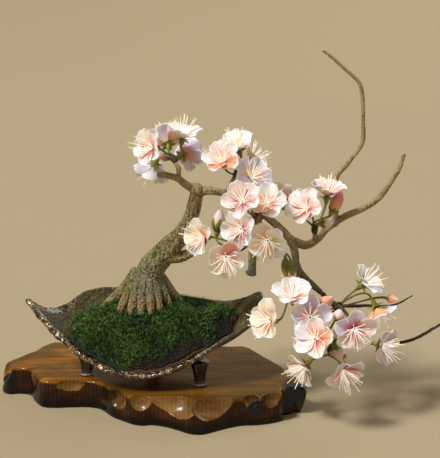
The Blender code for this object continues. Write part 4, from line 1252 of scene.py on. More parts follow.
def tray_shell():
    """Rows of points from the middle of the inside, over the rim, to the outside."""
    rim = smooth_line(TRAY_RIM, TRAY_SPAN, closed=True)
    shares = np.concatenate(
        [[0.015], np.linspace(0.06, 0.9, 26), np.linspace(0.915, 1.0, 9)]
    )
    inside = np.stack([tray_point(rim.copy(), share) for share in shares])
    out = np.gradient(inside, axis=0)
    around = np.roll(inside, -1, axis=1) - np.roll(inside, 1, axis=1)
    normal = np.cross(out, around)
    normal /= np.linalg.norm(normal, axis=2, keepdims=True)
    normal *= np.sign(normal[..., 2:3].mean())
    outside = inside - normal * TRAY_THICKNESS
    outward = out[-1] / np.linalg.norm(out[-1], axis=1, keepdims=True)
    middle = (inside[-1] + outside[-1]) / 2
    lip = []
    for turn in np.radians(LIP_TURNS):
        lip.append(
            middle + (inside[-1] - middle) * math.cos(turn)
            + outward * TRAY_THICKNESS * LIP_BULGE * math.sin(turn)
        )
    rows = list(inside) + lip + list(outside[::-1])
    count = len(shares)
    crust = list(smoothstep(shares, 0.90, 0.965)) + [1.0] * 5
    crust += list(smoothstep(shares, 0.93, 1.0)[::-1])
    inner = [1.0] * count + [1.0, 0.8, 0.5, 0.2, 0.0] + [0.0] * count
    return np.array(rows), np.array(crust), np.array(inner)


def crusted(rows, crust):
    """Raise beads of glaze along the rim, most at the left and the front."""
    shape = rows.copy()
    total, around, _ = rows.shape
    up = np.gradient(rows, axis=0)
    side = np.roll(rows, -1, axis=1) - np.roll(rows, 1, axis=1)
    normal = np.cross(side, up)
    normal /= np.maximum(np.linalg.norm(normal, axis=2, keepdims=True), 1e-9)
    weight = np.zeros((total, around))
    for row in range(total):
        for index in range(around):
            x, y, z = rows[row, index]
            front = 1 - smoothstep(x, 20, 62) * 0.65
            front *= 1 - smoothstep(y, 4, 30) * 0.35
            weight[row, index] = crust[row] * front
            at = Vector((x, y, z))
            beads = swell(at, (0.55, 0.55), (1.3, 0.45)) * 1.7 * weight[row, index]
            waves = swell(at, (0.07, 0.5), (0.22, 0.28)) * (0.4 + 0.6 * crust[row])
            shape[row, index] += normal[row, index] * (beads + waves)
    return shape, weight


def foot_rows(middle, top):
    """Points of a tapering foot from the slab up into the tray, and how many rows."""
    x, y = middle
    usual, widest = FOOT_RADII
    rows = [
        (FOOT_BOTTOM + climb, min(usual * share, widest))
        for climb, share in FOOT_PROFILE if FOOT_BOTTOM + climb <= top
    ]
    rows.append((top, min(rows[-1][1] * 1.1, widest)))
    points = []
    for height, radius in rows:
        for corner in range(FOOT_SIDES):
            angle = 2 * math.pi * corner / FOOT_SIDES
            facet = 1 + 0.05 * math.cos(3 * angle + 0.6) + 0.025 * math.cos(7 * angle)
            reach = radius * facet
            points.append((x + reach * math.cos(angle), y + reach * math.sin(angle), height))
    return np.array(points), len(rows)


class BONSAI_OT_tray(bpy.types.Operator):
    """Make the curved tray with its crusted rim and three feet"""

    bl_idname = "bonsai.tray"
    bl_label = "Glazed tray"

    def execute(self, context):
        rows, crust, inner = tray_shell()
        shape, weight = crusted(rows, crust)
        total, around, _ = shape.shape
        faces = wall_faces(total, around, True)
        faces += [lid(0, around), lid(total - 1, around, True)]
        stock = Stock()
        stock.add(
            shape.reshape(-1, 3) * MM, faces, 0,
            crust=weight.reshape(-1), inner=np.repeat(inner, around),
        )
        top, rise, reach = FOOT_TOP
        for x, y in TRAY_FEET:
            away = math.hypot(x - TRAY_FLOOR[0], y - TRAY_FLOOR[1])
            height = min(top + (away / reach) ** 2 * rise, FOOT_HIGHEST)
            points, count = foot_rows((x, y), height)
            stock.add(points * MM, tube_faces(count, FOOT_SIDES), 0, crust=0.0, inner=0.0)
        tray = stock.make("tray_glaze", [tray_finish()])
        keep(tray, "dark_glaze", "tray")
        return {"FINISHED"}


def bareness(x, y):
    """1 where the soil shows through the moss, 0 where the moss is thick."""
    ragged = swell(Vector((x, y, 0)), (0.09, 0.45), (0.28, 0.3))
    nearest = FAR
    for (middle_x, middle_y), (wide, deep), turn in BARE_PATCHES:
        angle = math.radians(turn)
        dx, dy = x - middle_x, y - middle_y
        along = (dx * math.cos(angle) + dy * math.sin(angle)) / wide
        over = (dy * math.cos(angle) - dx * math.sin(angle)) / deep
        nearest = min(nearest, math.hypot(along, over))
    return 1 - float(smoothstep(nearest + ragged, 0.75, 1.15))


def mound_grid(lift, spread, rough=0.4, leftward=0.0):
    """Rings of points over the heap, from its top to its edge, wider at the left if asked."""
    rim = smooth_line(TRAY_RIM, MOUND_SPAN, closed=True)
    share = smooth_line([(value,) for value in SOIL_EDGE], MOUND_SPAN, closed=True)[:, 0]
    share = share * spread
    share += leftward * smoothstep(-rim[:, 0], 20, 60)
    edge = tray_point(rim, share)
    edge[:, 2] += HEAP_EDGE_RISE
    places, heights = zip(*MOUND_RISE)
    top = np.array(MOUND_TOP)
    rings = []
    for outward in np.linspace(0.0, 1.0, MOUND_RINGS) ** 0.8:
        rise = np.interp(outward, places, heights)
        ring = top + (edge - top) * outward
        ring[:, 2] = edge[:, 2] + (top[2] - edge[:, 2]) * rise
        for point in ring:
            point[2] += swell(Vector(point), (0.10, 1.3), (0.3, 0.6), (0.55, rough))
            point[2] += lift(point[0], point[1], outward)
        rings.append(ring)
    return np.array(rings)


def mound_object(name, rings, finish, **notes):
    """A closed heap: its domed top, and a skirt let down into the tray."""
    total, around, _ = rings.shape
    skirt = rings[-1].copy()
    skirt[:, :2] *= SKIRT_SHARE
    skirt[:, 2] -= SKIRT_DROP
    under = skirt.copy()
    under[:, :2] *= UNDERSIDE_SHARE
    under[:, 2] = np.minimum(under[:, 2], UNDERSIDE_HEIGHT)
    grid = np.concatenate([rings, skirt[None], under[None]])
    faces = [*wall_faces(len(grid), around, True), lid(len(grid) - 1, around, True)]
    stock = Stock()
    each = {}
    for key, value in notes.items():
        flat = np.asarray(value).reshape(total, around)
        flat = np.concatenate([flat, flat[-1:], flat[-1:]])
        each[key] = flat.reshape(-1)
    stock.add(grid.reshape(-1, 3) * MM, faces, 0, **each)
    item = stock.make(name, [finish])
    weld = item.modifiers.new("weld", "WELD")
    weld.merge_threshold = WELD_DISTANCE
    return baked(item)


class BONSAI_OT_soil(bpy.types.Operator):
    """Make the heap of potting soil with its crumbs"""

    bl_idname = "bonsai.soil"
    bl_label = "Soil"

    def execute(self, context):
        rings = mound_grid(lambda x, y, outward: 2.2 * bareness(x, y) - 0.4, 1.0)
        soil = mound_object("soil_heap", rings, soil_finish())
        keep(soil, "soil", "soil")
        dice = random.Random(SOIL_SEED)
        stock = Stock()
        total, around, _ = rings.shape
        corners = np.array([
            (1, 1, 1), (1, -1, -1), (-1, 1, -1), (-1, -1, 1),
            (1.4, 0, 0), (-1.4, 0, 0), (0, 1.4, 0), (0, -1.4, 0),
        ]) * 0.6
        crumb_faces = [
            (0, 4, 1), (0, 6, 4), (0, 5, 3), (0, 3, 7), (1, 4, 7), (1, 7, 2), (1, 6, 2),
            (2, 6, 5), (2, 5, 3), (3, 2, 7), (0, 7, 4), (0, 6, 5), (1, 4, 6),
        ]
        made = 0
        while made < SOIL_CRUMBS:
            row = dice.randrange(4, total - 1)
            point = rings[row, dice.randrange(around)]
            bare = bareness(point[0], point[1])
            if dice.random() > bare * 1.1 + 0.04:
                continue
            size = dice.uniform(0.25, 0.75)
            turn = stand((dice.uniform(-1, 1), dice.uniform(-1, 1), dice.uniform(-1, 1)))
            shift = np.array(
                [dice.uniform(-0.6, 0.6), dice.uniform(-0.6, 0.6), dice.uniform(0, 0.4)]
            )
            places = (corners * size * dice.uniform(0.8, 1.2)) @ turn + point + shift
            stock.add(places * MM, crumb_faces)
            made += 1
        crumbs = stock.make("soil_crumbs", [soil.data.materials[0]], smooth=False)
        keep(crumbs, "soil")
        return {"FINISHED"}


class BONSAI_OT_moss(bpy.types.Operator):
    """Make the moss cushion and its shoots"""

    bl_idname = "bonsai.moss"
    bl_label = "Moss"

    def execute(self, context):
        def lift(x, y, outward):
            thick = 1 - bareness(x, y)
            edge = 1 - float(smoothstep(outward, 0.93, 1.0))
            return -1.0 + MOSS_DEPTH * thick * (0.35 + 0.65 * edge)

        rings = mound_grid(lift, 1.03, 1.3, 0.10)
        total, around, _ = rings.shape
        brown = np.array([[bareness(x, y) for x, y, _ in ring] for ring in rings])
        finish = moss_finish()
        cushion = mound_object(
            "moss_cushion", rings, finish, tip=np.zeros(total * around),
            brown=smoothstep(brown, 0.4, 0.9).reshape(-1),
        )
        keep(cushion, "moss", "moss")
        dice = np.random.default_rng(MOSS_SEED)
        wanted = sizes().moss_shoots
        tries = wanted * 3
        rows = np.sqrt(dice.uniform(0.002, 1.0, tries)) * (total - 2)
        places = dice.uniform(0, around, tries)
        roots = between(rings, rows, places)
        bare = brown[rows.astype(int), places.astype(int)]
        alive = dice.uniform(0, 1, tries) > bare * 0.93
        roots = roots[alive][:wanted]
        bare = bare[alive][:wanted]
        count = len(roots)
        tufts = np.array([noise.noise(Vector(root) * 0.45) for root in roots])
        length = sizes().moss_height / MM * dice.uniform(0.4, 1.1, count) * (1 - 0.4 * bare)
        length *= 0.8 + 0.9 * np.clip(tufts + 0.2, 0, 1)
        lean = dice.normal(0, 0.75, (count, 2))
        upward = np.stack([lean[:, 0], lean[:, 1], np.ones(count)], axis=1)
        tips = roots + upward * length[:, None]
        turn = dice.uniform(0, 2 * math.pi, count)
        width = dice.uniform(0.26, 0.50, count)
        points = np.zeros((count, 4, 3))
        for corner in range(3):
            angle = turn + corner * 2 * math.pi / 3
            points[:, corner] = roots + np.stack(
                [np.cos(angle) * width, np.sin(angle) * width, np.full(count, -0.4)], axis=1
            )
        points[:, 3] = tips
        first = np.arange(count)[:, None] * 4
        shape = np.array([(0, 1, 3), (1, 2, 3), (2, 0, 3), (0, 2, 1)])
        faces = (first[:, None] + shape[None]).reshape(-1, 3)
        bright = np.repeat(dice.uniform(0.0, 1.0, count) ** 1.2, 4)
        stock = Stock()
        stock.add(
            points.reshape(-1, 3) * MM, faces.tolist(), 0,
            tip=np.tile([0.4, 0.4, 0.4, 1.0], count) * bright,
            brown=np.repeat(smoothstep(bare, 0.5, 1.0), 4),
        )
        shoots = stock.make("moss_shoots", [finish], smooth=False)
        keep(shoots, "moss")
        return {"FINISHED"}


def root_gaps(places):
    """How deep each point lies in a gap between two roots, 0 to 1."""
    stems = [smooth_line(stem, STEM_SPAN) for stem in (*ROOTS, TRUNK)]
    stems[-1] = stems[-1][stems[-1][:, 2] > TRUNK_FOOT]
    nearest = np.full(len(places), FAR)
    low = places[:, 2] < GAPS_BELOW
    for x, y, z, radius in np.concatenate(stems):
        reach = np.linalg.norm(places[low] - (x, y, z), axis=1) / max(radius, THINNEST_STEM)
        nearest[low] = np.minimum(nearest[low], reach)
    return smoothstep(nearest, 1.04, 1.26) * smoothstep(-places[:, 2], -90, -80)


class BONSAI_OT_tree(bpy.types.Operator):
    """Make the trunk, its roots and its branches with furrowed bark"""

    bl_idname = "bonsai.tree"
    bl_label = "Trunk and branches"

    def execute(self, context):
        stock = Stock()
        stems = [(TRUNK, TRUNK_MESH)] + [(root, ROOT_MESH) for root in ROOTS]
        stems += [(branch, BRANCH_MESH) for branch in BRANCHES.values()]
        for points, mesh in stems:
            line = smooth_line(points, STEM_SPAN)
            radii = np.maximum(line[:, 3], THINNEST_STEM) * MM
            rod(stock, line[:, :3] * MM, radii, mesh, lumps=7.0)
        for middle, radius in KNUCKLES:
            line = np.array([
                (middle[0], middle[1], middle[2] - radius * 0.9 + radius * 1.8 * step / 8)
                for step in range(9)
            ])
            radii = [
                radius * MM * math.sqrt(max(0.08, 1 - ((step - 4) / 4.4) ** 2))
                for step in range(9)
            ]
            rod(stock, line * MM, radii, KNUCKLE_MESH)
        tree = stock.make("tree_wood", [])
        remesh = tree.modifiers.new("one_skin", "REMESH")
        remesh.mode = "VOXEL"
        remesh.voxel_size = sizes().wood_grain
        soften = tree.modifiers.new("soften", "SMOOTH")
        soften.factor = 0.5
        soften.iterations = 2
        baked(tree)
        self.carve_bark(tree)
        tree.data.materials.append(bark_finish())
        tree.data.shade_smooth()
        keep(tree, "bark", "tree")
        return {"FINISHED"}

    def carve_bark(self, tree):
        """Fine furrows and small knots pressed into the bark."""
        mesh = tree.data
        relief = sizes().bark_relief
        places = np.zeros(len(mesh.vertices) * 3)
        faces = np.zeros(len(mesh.vertices) * 3)
        mesh.vertices.foreach_get("co", places)
        mesh.vertex_normals.foreach_get("vector", faces)
        places, faces = places.reshape(-1, 3), faces.reshape(-1, 3)
        heights = []
        for place in places / MM:
            at = Vector(place)
            long_way = Vector((at.x * 0.55, at.y * 0.55, at.z * 0.20))
            ridges = 1 - abs(noise.noise(long_way) * 2.2)
            pits = swell(at, (0.9, 1), (1.9, 0.5))
            heights.append((ridges, pits))
        ridges, pits = np.array(heights).T
        trunk = 1 - smoothstep(places[:, 2] / MM, 110, 150) * 0.45
        # The gap note also darkens these places in the bark's colour as painted shade.
        gap = root_gaps(places / MM)
        amount = (ridges * 0.55 + pits * 0.6) * relief * trunk - gap * 0.8 * MM
        mesh.vertices.foreach_set("co", (places + faces * amount[:, None]).ravel())
        furrow = 0.5 + 0.5 * (ridges * 0.5 + pits * 0.5)
        note_points(tree, "furrow", furrow)
        note_points(tree, "gap", gap)
        mesh.update()


def bloom_axes(facing, spin):
    """Two cross directions of a bloom, turned by its spin, and the way it faces."""
    turn, rise = (math.radians(value) for value in facing)
    flat = math.cos(rise)
    ahead = Vector((flat * math.cos(turn), flat * math.sin(turn), math.sin(rise)))
    guide = Vector((0, 0, 1)) if abs(ahead.z) < 0.9 else Vector((0, -1, 0))
    side = (guide - ahead * guide.dot(ahead)).normalized()
    across = ahead.cross(side)
    angle = math.radians(spin)
    first = side * math.cos(angle) + across * math.sin(angle)
    second = across * math.cos(angle) - side * math.sin(angle)
    return np.array([first, second, ahead])


def petal_grid(opening, dice):
    """Rows of points of one petal, along X from the bloom's middle, in millimetres."""
    length = sizes().petal_length / MM * dice.uniform(0.96, 1.03)
    width = sizes().petal_width / MM * dice.uniform(0.93, 1.04)
    phase = dice.uniform(0, 6.28)
    ruffle = dice.uniform(0.35, 0.75)
    notch = dice.uniform(0.01, 0.08)
    tip_bend = dice.uniform(-34, 4)
    cup = dice.uniform(2.2, 3.4)
    lean = math.radians(dice.uniform(-3, 3))
    rows, columns = 13, 11
    grid = np.zeros((rows, columns, 3))
    place = np.zeros((rows, columns, 3))
    chance = dice.random()
    for column in range(columns):
        side = -1 + 2 * column / (columns - 1)
        for row in range(rows):
            t = (row / (rows - 1)) ** 0.9
            cut = 0.16 * abs(side) ** 2.3 * t ** 2
            cut += notch * math.exp(-(side / 0.17) ** 2) * t ** 7
            along = t * (1 - cut)
            share = np.interp(t, *zip(*PETAL_WIDTHS))
            out, up = petal_arc(along, opening, length, tip_bend)
            slope = math.radians(opening + PETAL_CURL * (1 - 2 * along))
            lift = cup * min(1.0, along * 1.3) * side * side
            lift += ruffle * math.sin(side * 6.5 + phase) * t ** 2 * abs(side)
            lift += 1.0 * side * math.sin(math.pi * min(1, t * 1.05))
            lift -= 0.3 * math.exp(-(side / 0.15) ** 2) * math.sin(math.pi * t)
            x = out - lift * math.sin(slope)
            z = up + lift * math.cos(slope)
            y = side * width * share
            grid[row, column] = (
                PETAL_FOOT + x * math.cos(lean) - y * math.sin(lean),
                x * math.sin(lean) + y * math.cos(lean), z,
            )
            place[row, column] = (side, t, chance)
    return grid, place


def petal_arc(along, opening, length, tip_bend):
    """How far out and up a petal's middle line is at a share of its length."""
    steps = 10
    out = up = 0.0
    for step in range(steps):
        passed = (step + 0.5) / steps * along
        angle = opening + PETAL_CURL * (1 - 2 * passed) - tip_bend * max(0.0, passed - 0.7) * 3
        out += math.cos(math.radians(angle)) * along / steps * length
        up += math.sin(math.radians(angle)) * along / steps * length
    return out, up


def turned(grid, angle):
    """The same points turned round the bloom's own axis."""
    cosine, sine = math.cos(angle), math.sin(angle)
    result = grid.copy()
    result[..., 0] = grid[..., 0] * cosine - grid[..., 1] * sine
    result[..., 1] = grid[..., 0] * sine + grid[..., 1] * cosine
    return result


def grow_stamens(stock, axes, middle, dice):
    """Fine threads that fan out of the middle, each with a yellow end."""
    count = sizes().stamen_count
    longest = sizes().stamen_length / MM
    for index in range(count):
        turn = index * STAMEN_TURN + dice.uniform(-0.25, 0.25)
        lean = math.radians(3 + 33 * math.sqrt((index + 0.5) / count) + dice.uniform(-4, 4))
        length = longest * dice.uniform(0.62, 1.0)
        bow = dice.uniform(-0.10, 0.22)
        sway = dice.uniform(-0.12, 0.12)
        t = np.linspace(0, 1, len(STAMEN_RADII))
        tilt, spin = lean + bow * t, turn + sway * t
        line = np.stack([
            STAMEN_FOOT[0] * math.cos(turn) + length * t * np.sin(tilt) * np.cos(spin),
            STAMEN_FOOT[0] * math.sin(turn) + length * t * np.sin(tilt) * np.sin(spin),
            STAMEN_FOOT[1] + length * t * np.cos(tilt),
        ], axis=1)
        points = (line @ axes + middle) * MM
        rod(stock, points, np.array(STAMEN_RADII) * MM, STAMEN_MESH, 1)
        ahead = Vector(points[-1] - points[-2]).normalized()
        tilt = Vector((dice.uniform(-1, 1), dice.uniform(-1, 1), dice.uniform(-1, 1))) * 0.6
        bead(
            stock, Vector(points[-1]), (ahead + tilt).normalized(),
            dice.uniform(0.38, 0.50) * MM, dice.uniform(0.48, 0.66) * MM, 2,
        )


class BONSAI_OT_blooms(bpy.types.Operator):
    """Make every open bloom with its petals and stamens"""

    bl_idname = "bonsai.blooms"
    bl_label = "Blooms"

    def execute(self, context):
        c = colours()
        finishes = [
            petal_finish(),
            # The stamens' threads and ends glow faintly: painted light, not lamps.
            thread_finish("stamen_thread", tuple(c.filament), linear(255, 248, 240), 0.5, 0.26),
            thread_finish("stamen_end", tuple(c.anther), linear(248, 220, 140), 0.7, 0.12),
            thread_finish("bloom_middle", linear(150, 120, 50), tuple(c.throat), 0.5),
        ]
        for order, name in enumerate(BLOOMS):
            self.make_bloom(name, finishes, random.Random(BLOOM_SEED + order))
        return {"FINISHED"}

    def make_bloom(self, name, finishes, dice):
        middle, facing, opening, spin, bends, _, _ = BLOOMS[name]
        axes = bloom_axes(facing, spin)
        middle = np.array(middle, dtype=float)
        stock = Stock()
        tints = BLOOM_TINTS[name].split()
        for index in range(PETALS):
            grid, place = petal_grid(opening + bends[index], dice)
            grid = turned(grid, math.radians(360 / PETALS * index))
            grid = grid @ axes + middle
            foot, edge = tints[index]
            blade(
                stock, grid * MM, sizes().petal_thickness, 0, place=place,
                deep=np.array(tint(foot)), pale=np.array(tint(edge)),
            )
        ahead = Vector(axes[2])
        bead(stock, Vector(middle * MM) + ahead * 0.2 * MM, ahead, 1.5 * MM, 0.9 * MM, 3)
        grow_stamens(stock, axes, middle, dice)
        bloom = stock.make(name + "_petals", finishes)
        keep(bloom, "petal", name)


def bud_rows(radius, length, loose, dice):
    """Rows of a closed bud whose petals wrap over one another."""
    around, steps = 40, 16
    phase = dice.uniform(0, 6.28)
    rows = []
    for step in range(steps + 1):
        t = step / steps
        swell = math.sin(math.pi * (0.04 + 0.96 * t) ** 0.80) ** 0.72 if t < 1 else 0.0
        ring = []
        for corner in range(around):
            angle = 2 * math.pi * corner / around
            wrap = ((angle + phase + t * 1.5) * 3 / (2 * math.pi)) % 1.0
            lap = 0.09 * (1 - wrap) * (0.3 + t)
            lap += loose * 0.10 * math.sin(angle * 5 + phase) * t * t
            reach = max(0.02, swell) * radius * (0.92 + lap)
            ring.append((reach * math.cos(angle), reach * math.sin(angle), length * t))
        rows.append(ring)
    return np.array(rows)


def sepal_grid(length, width, spread, curl, start):
    """A pointed green leaf that starts on a ring and bends out or hugs."""
    grid = np.zeros((SEPAL_ROWS, SEPAL_COLUMNS, 3))
    side = np.linspace(-1, 1, SEPAL_COLUMNS)
    fold = SEPAL_FOLD * side * side
    step = length / (SEPAL_ROWS - 1)
    out, up = start
    for row in range(SEPAL_ROWS):
        t = row / (SEPAL_ROWS - 1)
        angle = math.radians(spread + curl * t)
        if row:
            out += math.cos(angle) * step
            up += math.sin(angle) * step
        half = width * math.sin(math.pi * (0.22 + 0.78 * t) ** 0.9) ** 0.9 if t < 1 else 0.0
        grid[row] = np.stack([out - fold, side * max(half, SEPAL_POINT), up + fold], axis=1)
    return grid


def hugging_sepal(rows, reach, angle, width):
    """A sepal that lies on a bud from its foot up to a share of its height."""
    steps, around, _ = rows.shape
    grid = []
    for t in np.linspace(0, 1, BUD_SEPAL_ROWS):
        half = width * math.sin(math.pi * (0.25 + 0.75 * t) ** 0.9) ** 0.8 if t < 1 else 0.02
        turns = angle + np.linspace(-1, 1, SEPAL_COLUMNS) * half
        heights = np.full(SEPAL_COLUMNS, t * reach * (steps - 1))
        points = between(rows, heights, turns / (2 * math.pi) % 1.0 * around)
        away = np.stack([np.cos(turns), np.sin(turns), np.zeros(SEPAL_COLUMNS)], axis=1)
        grid.append(points + away * BUD_SEPAL_GAP)
    return np.array(grid)


class BONSAI_OT_buds(bpy.types.Operator):
    """Make every closed bud with the green leaves around it"""

    bl_idname = "bonsai.buds"
    bl_label = "Buds"

    def execute(self, context):
        finishes = [petal_finish(), stalk_finish()]
        for order, name in enumerate(BUDS):
            self.make_bud(name, finishes, random.Random(BUD_SEED + order))
        return {"FINISHED"}

    def make_bud(self, name, finishes, dice):
        base, tip, radius, _, _ = BUDS[name]
        foot, end, cover = BUD_TINTS[name]
        start = np.array(base, dtype=float)
        ahead = np.array(tip, dtype=float) - start
        length = np.linalg.norm(ahead)
        axes = stand(ahead)
        rows = bud_rows(radius, length * 0.99, 0.6, dice)
        stock = Stock()
        count, around, _ = rows.shape
        points = rows.reshape(-1, 3) @ axes + start
        place = np.zeros((count * around, 3))
        place[:, 0] = np.tile(np.sin(np.linspace(0, 6 * math.pi, around)) * 0.7, count)
        place[:, 1] = np.repeat(np.linspace(0.24, 0.9, count), around)
        place[:, 2] = dice.random()
        stock.add(
            points * MM, tube_faces(count, around), 0, place=place,
            deep=np.array(tint(foot)), pale=np.array(tint(end)),
        )
        for index in range(PETALS):
            angle = 2 * math.pi * (index + 0.3) / PETALS
            grid = hugging_sepal(rows, cover, angle, 0.62) @ axes + start
            shade = np.linspace(0.55, 1.0, BUD_SEPAL_ROWS)[:, None] * np.ones((1, SEPAL_COLUMNS))
            blade(stock, grid * MM, BUD_SEPAL_THICKNESS * MM, 1, along=shade[..., None])
        bud = stock.make(name + "_petals", finishes)
        keep(bud, "bud", name)


def spur_end(spray):
    """The end of a spray's spur, the way it points and its radius there."""
    points = BRANCHES[SPRAYS["stalks_" + spray]]
    end = np.array(points[-1][:3], dtype=float)
    before = np.array(points[-2][:3], dtype=float)
    direction = (end - before) / np.linalg.norm(end - before)
    return end, direction, points[-1][3]


def stalk_line(spray, order, end, ahead, bow):
    """The curve of one stalk, from its knot to its flower cup, in millimetres."""
    spur, direction, _ = spur_end(spray)
    bow = np.array(bow, dtype=float)
    length = np.linalg.norm(end - spur - direction * STALK_START)
    first = spur + direction * (STALK_START + STALK_STAGGER * order)
    second = first + direction * length * STALK_REACH[0] + bow
    third = end - ahead * length * STALK_REACH[1] + bow
    t = np.linspace(0, 1, STALK_STEPS)[:, None]
    s = 1 - t
    line = first * s ** 3 + second * 3 * s * s * t + third * 3 * s * t * t + end * t ** 3
    return np.vstack([line, end + ahead * STALK_TIP])


class BONSAI_OT_stalks(bpy.types.Operator):
    """Make every spray of flower stalks with its green flower cups"""

    bl_idname = "bonsai.stalks"
    bl_label = "Flower stalks"

    def execute(self, context):
        finish = stalk_finish()
        for order, name in enumerate(SPRAYS):
            self.make_spray(name, finish, random.Random(STALK_SEED + order))
        return {"FINISHED"}

    def make_spray(self, name, finish, dice):
        spray = name.removeprefix("stalks_")
        stock = Stock()
        self.add_knot(stock, spray)
        order = 0
        for middle, facing, _, spin, _, bow, home in BLOOMS.values():
            if home == spray:
                axes = bloom_axes(facing, spin)
                centre = np.array(middle, dtype=float)
                end = centre - axes[2] * STALK_SEAT
                self.add_stalk(stock, stalk_line(spray, order, end, axes[2], bow))
                self.add_cup(stock, centre - axes[2] * 0.7, axes, dice)
                order += 1
        for base, tip, radius, bow, home in BUDS.values():
            if home == spray:
                start = np.array(base, dtype=float)
                ahead = np.array(tip, dtype=float) - start
                axes = stand(ahead)
                end = start - axes[2] * BUD_STALK_SEAT
                self.add_stalk(stock, stalk_line(spray, order, end, axes[2], bow))
                self.add_bud_cup(stock, start, axes, radius)
                order += 1
        item = stock.make(name + "_green", [finish])
        keep(item, "stalk", name)

    def add_knot(self, stock, spray):
        """Overlapping scales where the stalks leave the wood."""
        spur, direction, radius = spur_end(spray)
        axes = stand(direction)
        line = np.array([
            spur + direction * climb for climb in np.linspace(0.3, 5.3, len(KNOT_SWELL))
        ])
        radii = [radius * share * MM for share in KNOT_SWELL]
        rod(stock, line * MM, radii, KNOT_MESH, along=np.zeros(len(line)))
        for index in range(9):
            angle = index * 2.4
            start = (radius * 1.15, 0.6 + index * 0.35)
            grid = sepal_grid(length=3.2, width=1.3, spread=62, curl=34, start=start)
            grid = turned(grid, angle) @ axes + spur
            blade(stock, grid * MM, SCALE_THICKNESS * MM, 0, along=0.12)

    def add_stalk(self, stock, line):
        """One stalk along its curve, thinner in the middle."""
        share = np.linspace(0, 1, len(line))
        radii = (0.84 - 0.22 * np.sin(math.pi * share) + 0.06 * share) * MM
        rod(stock, line * MM, radii, STALK_MESH, along=0.15 + 0.6 * share)

    def add_cup(self, stock, seat, axes, dice):
        """The bell under a bloom, with five pointed sepals spread below the petals."""
        line = np.array([seat + axes[2] * climb for climb, _ in CUP_PROFILE])
        radii = [radius * MM for _, radius in CUP_PROFILE]
        rod(stock, line * MM, radii, CUP_MESH, along=np.linspace(1.0, 0.6, len(line)))
        for index in range(PETALS):
            grid = sepal_grid(4.6, 1.5, dice.uniform(2, 16), dice.uniform(-34, 6), (1.6, -0.8))
            grid = turned(grid, math.radians(360 / PETALS * (index + 0.5))) @ axes + seat
            shade = np.linspace(1.0, 0.8, SEPAL_ROWS)[:, None] * np.ones((1, SEPAL_COLUMNS))
            blade(stock, grid * MM, SEPAL_THICKNESS * MM, 0, along=shade[..., None])

    def add_bud_cup(self, stock, start, axes, radius):
        """The small bell that a bud sits in."""
        wide = max(radius, 2.4)
        line = np.array([start + axes[2] * climb for climb, _ in BUD_CUP_PROFILE])
        radii = [max(0.75, wide * share * 0.75) * MM for _, share in BUD_CUP_PROFILE]
        rod(stock, line * MM, radii, BUD_CUP_MESH, along=np.linspace(0.9, 0.7, len(line)))


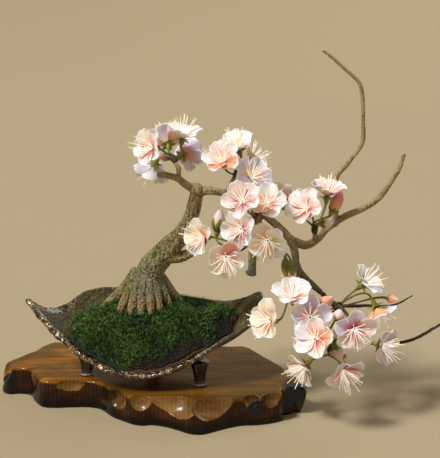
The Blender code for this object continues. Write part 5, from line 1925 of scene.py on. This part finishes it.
class BONSAI_OT_stage(bpy.types.Operator):
    """Make the pale floor, the soft lights and the camera"""

    bl_idname = "bonsai.stage"
    bl_label = "Stage"

    def execute(self, context):
        scene = context.scene
        self.make_floor()
        for sun in SUNS:
            self.add_sun(*sun)
        world = bpy.data.worlds.new("soft_room")
        world.use_nodes = True
        room = world.node_tree.nodes["Background"]
        room.inputs["Color"].default_value = ROOM_COLOUR
        room.inputs["Strength"].default_value = ROOM_LIGHT
        scene.world = world
        lens = bpy.data.cameras.new("photo_camera")
        lens.sensor_fit = "VERTICAL"
        lens.angle_y = 2 * math.atan(CAMERA_SLOPE)
        lens.clip_start = 0.01
        camera = bpy.data.objects.new("photo_camera", lens)
        camera.location = CAMERA_PLACE
        camera.rotation_euler = (math.radians(CAMERA_TILT), 0.0, 0.0)
        scene.collection.objects.link(camera)
        scene.camera = camera
        scene.view_settings.view_transform = "Standard"
        return {"FINISHED"}

    def make_floor(self):
        """A round floor, flat in the middle, that curves up far behind the tree."""
        sides = FLOOR_SIDES
        points = [(0.0, 0.0, 0.0)]
        for reach, height in FLOOR_RINGS:
            for index in range(sides):
                angle = 2 * math.pi * index / sides
                points.append((reach * math.cos(angle), reach * math.sin(angle), height))
        faces = [(0, 1 + index, 1 + (index + 1) % sides) for index in range(sides)]
        for face in wall_faces(len(FLOOR_RINGS), sides, True):
            faces.append(tuple(1 + point for point in face))
        stock = Stock()
        stock.add(points, faces)
        return stock.make("floor", [floor_finish()])

    def add_sun(self, name, toward, power, softness, shade):
        lamp = bpy.data.lights.new(name, "SUN")
        lamp.energy = power
        lamp.angle = math.radians(softness)
        lamp.color = shade
        item = bpy.data.objects.new(name, lamp)
        item.location = toward
        item.rotation_euler = Vector(toward).to_track_quat("Z", "Y").to_euler()
        bpy.context.scene.collection.objects.link(item)


PIECES = (
    BONSAI_OT_stage, BONSAI_OT_slab, BONSAI_OT_tray, BONSAI_OT_soil, BONSAI_OT_moss,
    BONSAI_OT_tree, BONSAI_OT_stalks, BONSAI_OT_blooms, BONSAI_OT_buds,
)


class BONSAI_PT_pieces(bpy.types.Panel):
    """The tree's pieces, sizes and colours"""

    bl_idname = "BONSAI_PT_pieces"
    bl_label = "Cherry bonsai"
    bl_space_type = "VIEW_3D"
    bl_region_type = "UI"
    bl_category = "Bonsai"

    def draw(self, context):
        layout = self.layout
        for piece in PIECES:
            layout.operator(piece.bl_idname)
        for group in (context.scene.bonsai_sizes, context.scene.bonsai_colours):
            box = layout.box()
            for name in group.__annotations__:
                box.prop(group, name)


CLASSES = (BonsaiSizes, BonsaiColours, *PIECES, BONSAI_PT_pieces)


def register():
    for item in CLASSES:
        bpy.utils.register_class(item)
    bpy.types.Scene.bonsai_sizes = PointerProperty(type=BonsaiSizes)
    bpy.types.Scene.bonsai_colours = PointerProperty(type=BonsaiColours)


def unregister():
    del bpy.types.Scene.bonsai_colours
    del bpy.types.Scene.bonsai_sizes
    for item in reversed(CLASSES):
        bpy.utils.unregister_class(item)


def main():
    register()
    bpy.ops.bonsai.stage()
    bpy.ops.bonsai.slab()
    bpy.ops.bonsai.tray()
    bpy.ops.bonsai.soil()
    bpy.ops.bonsai.moss()
    bpy.ops.bonsai.tree()
    bpy.ops.bonsai.stalks()
    bpy.ops.bonsai.blooms()
    bpy.ops.bonsai.buds()
    bpy.context.view_layer.update()


if __name__ == "__main__":
    main()
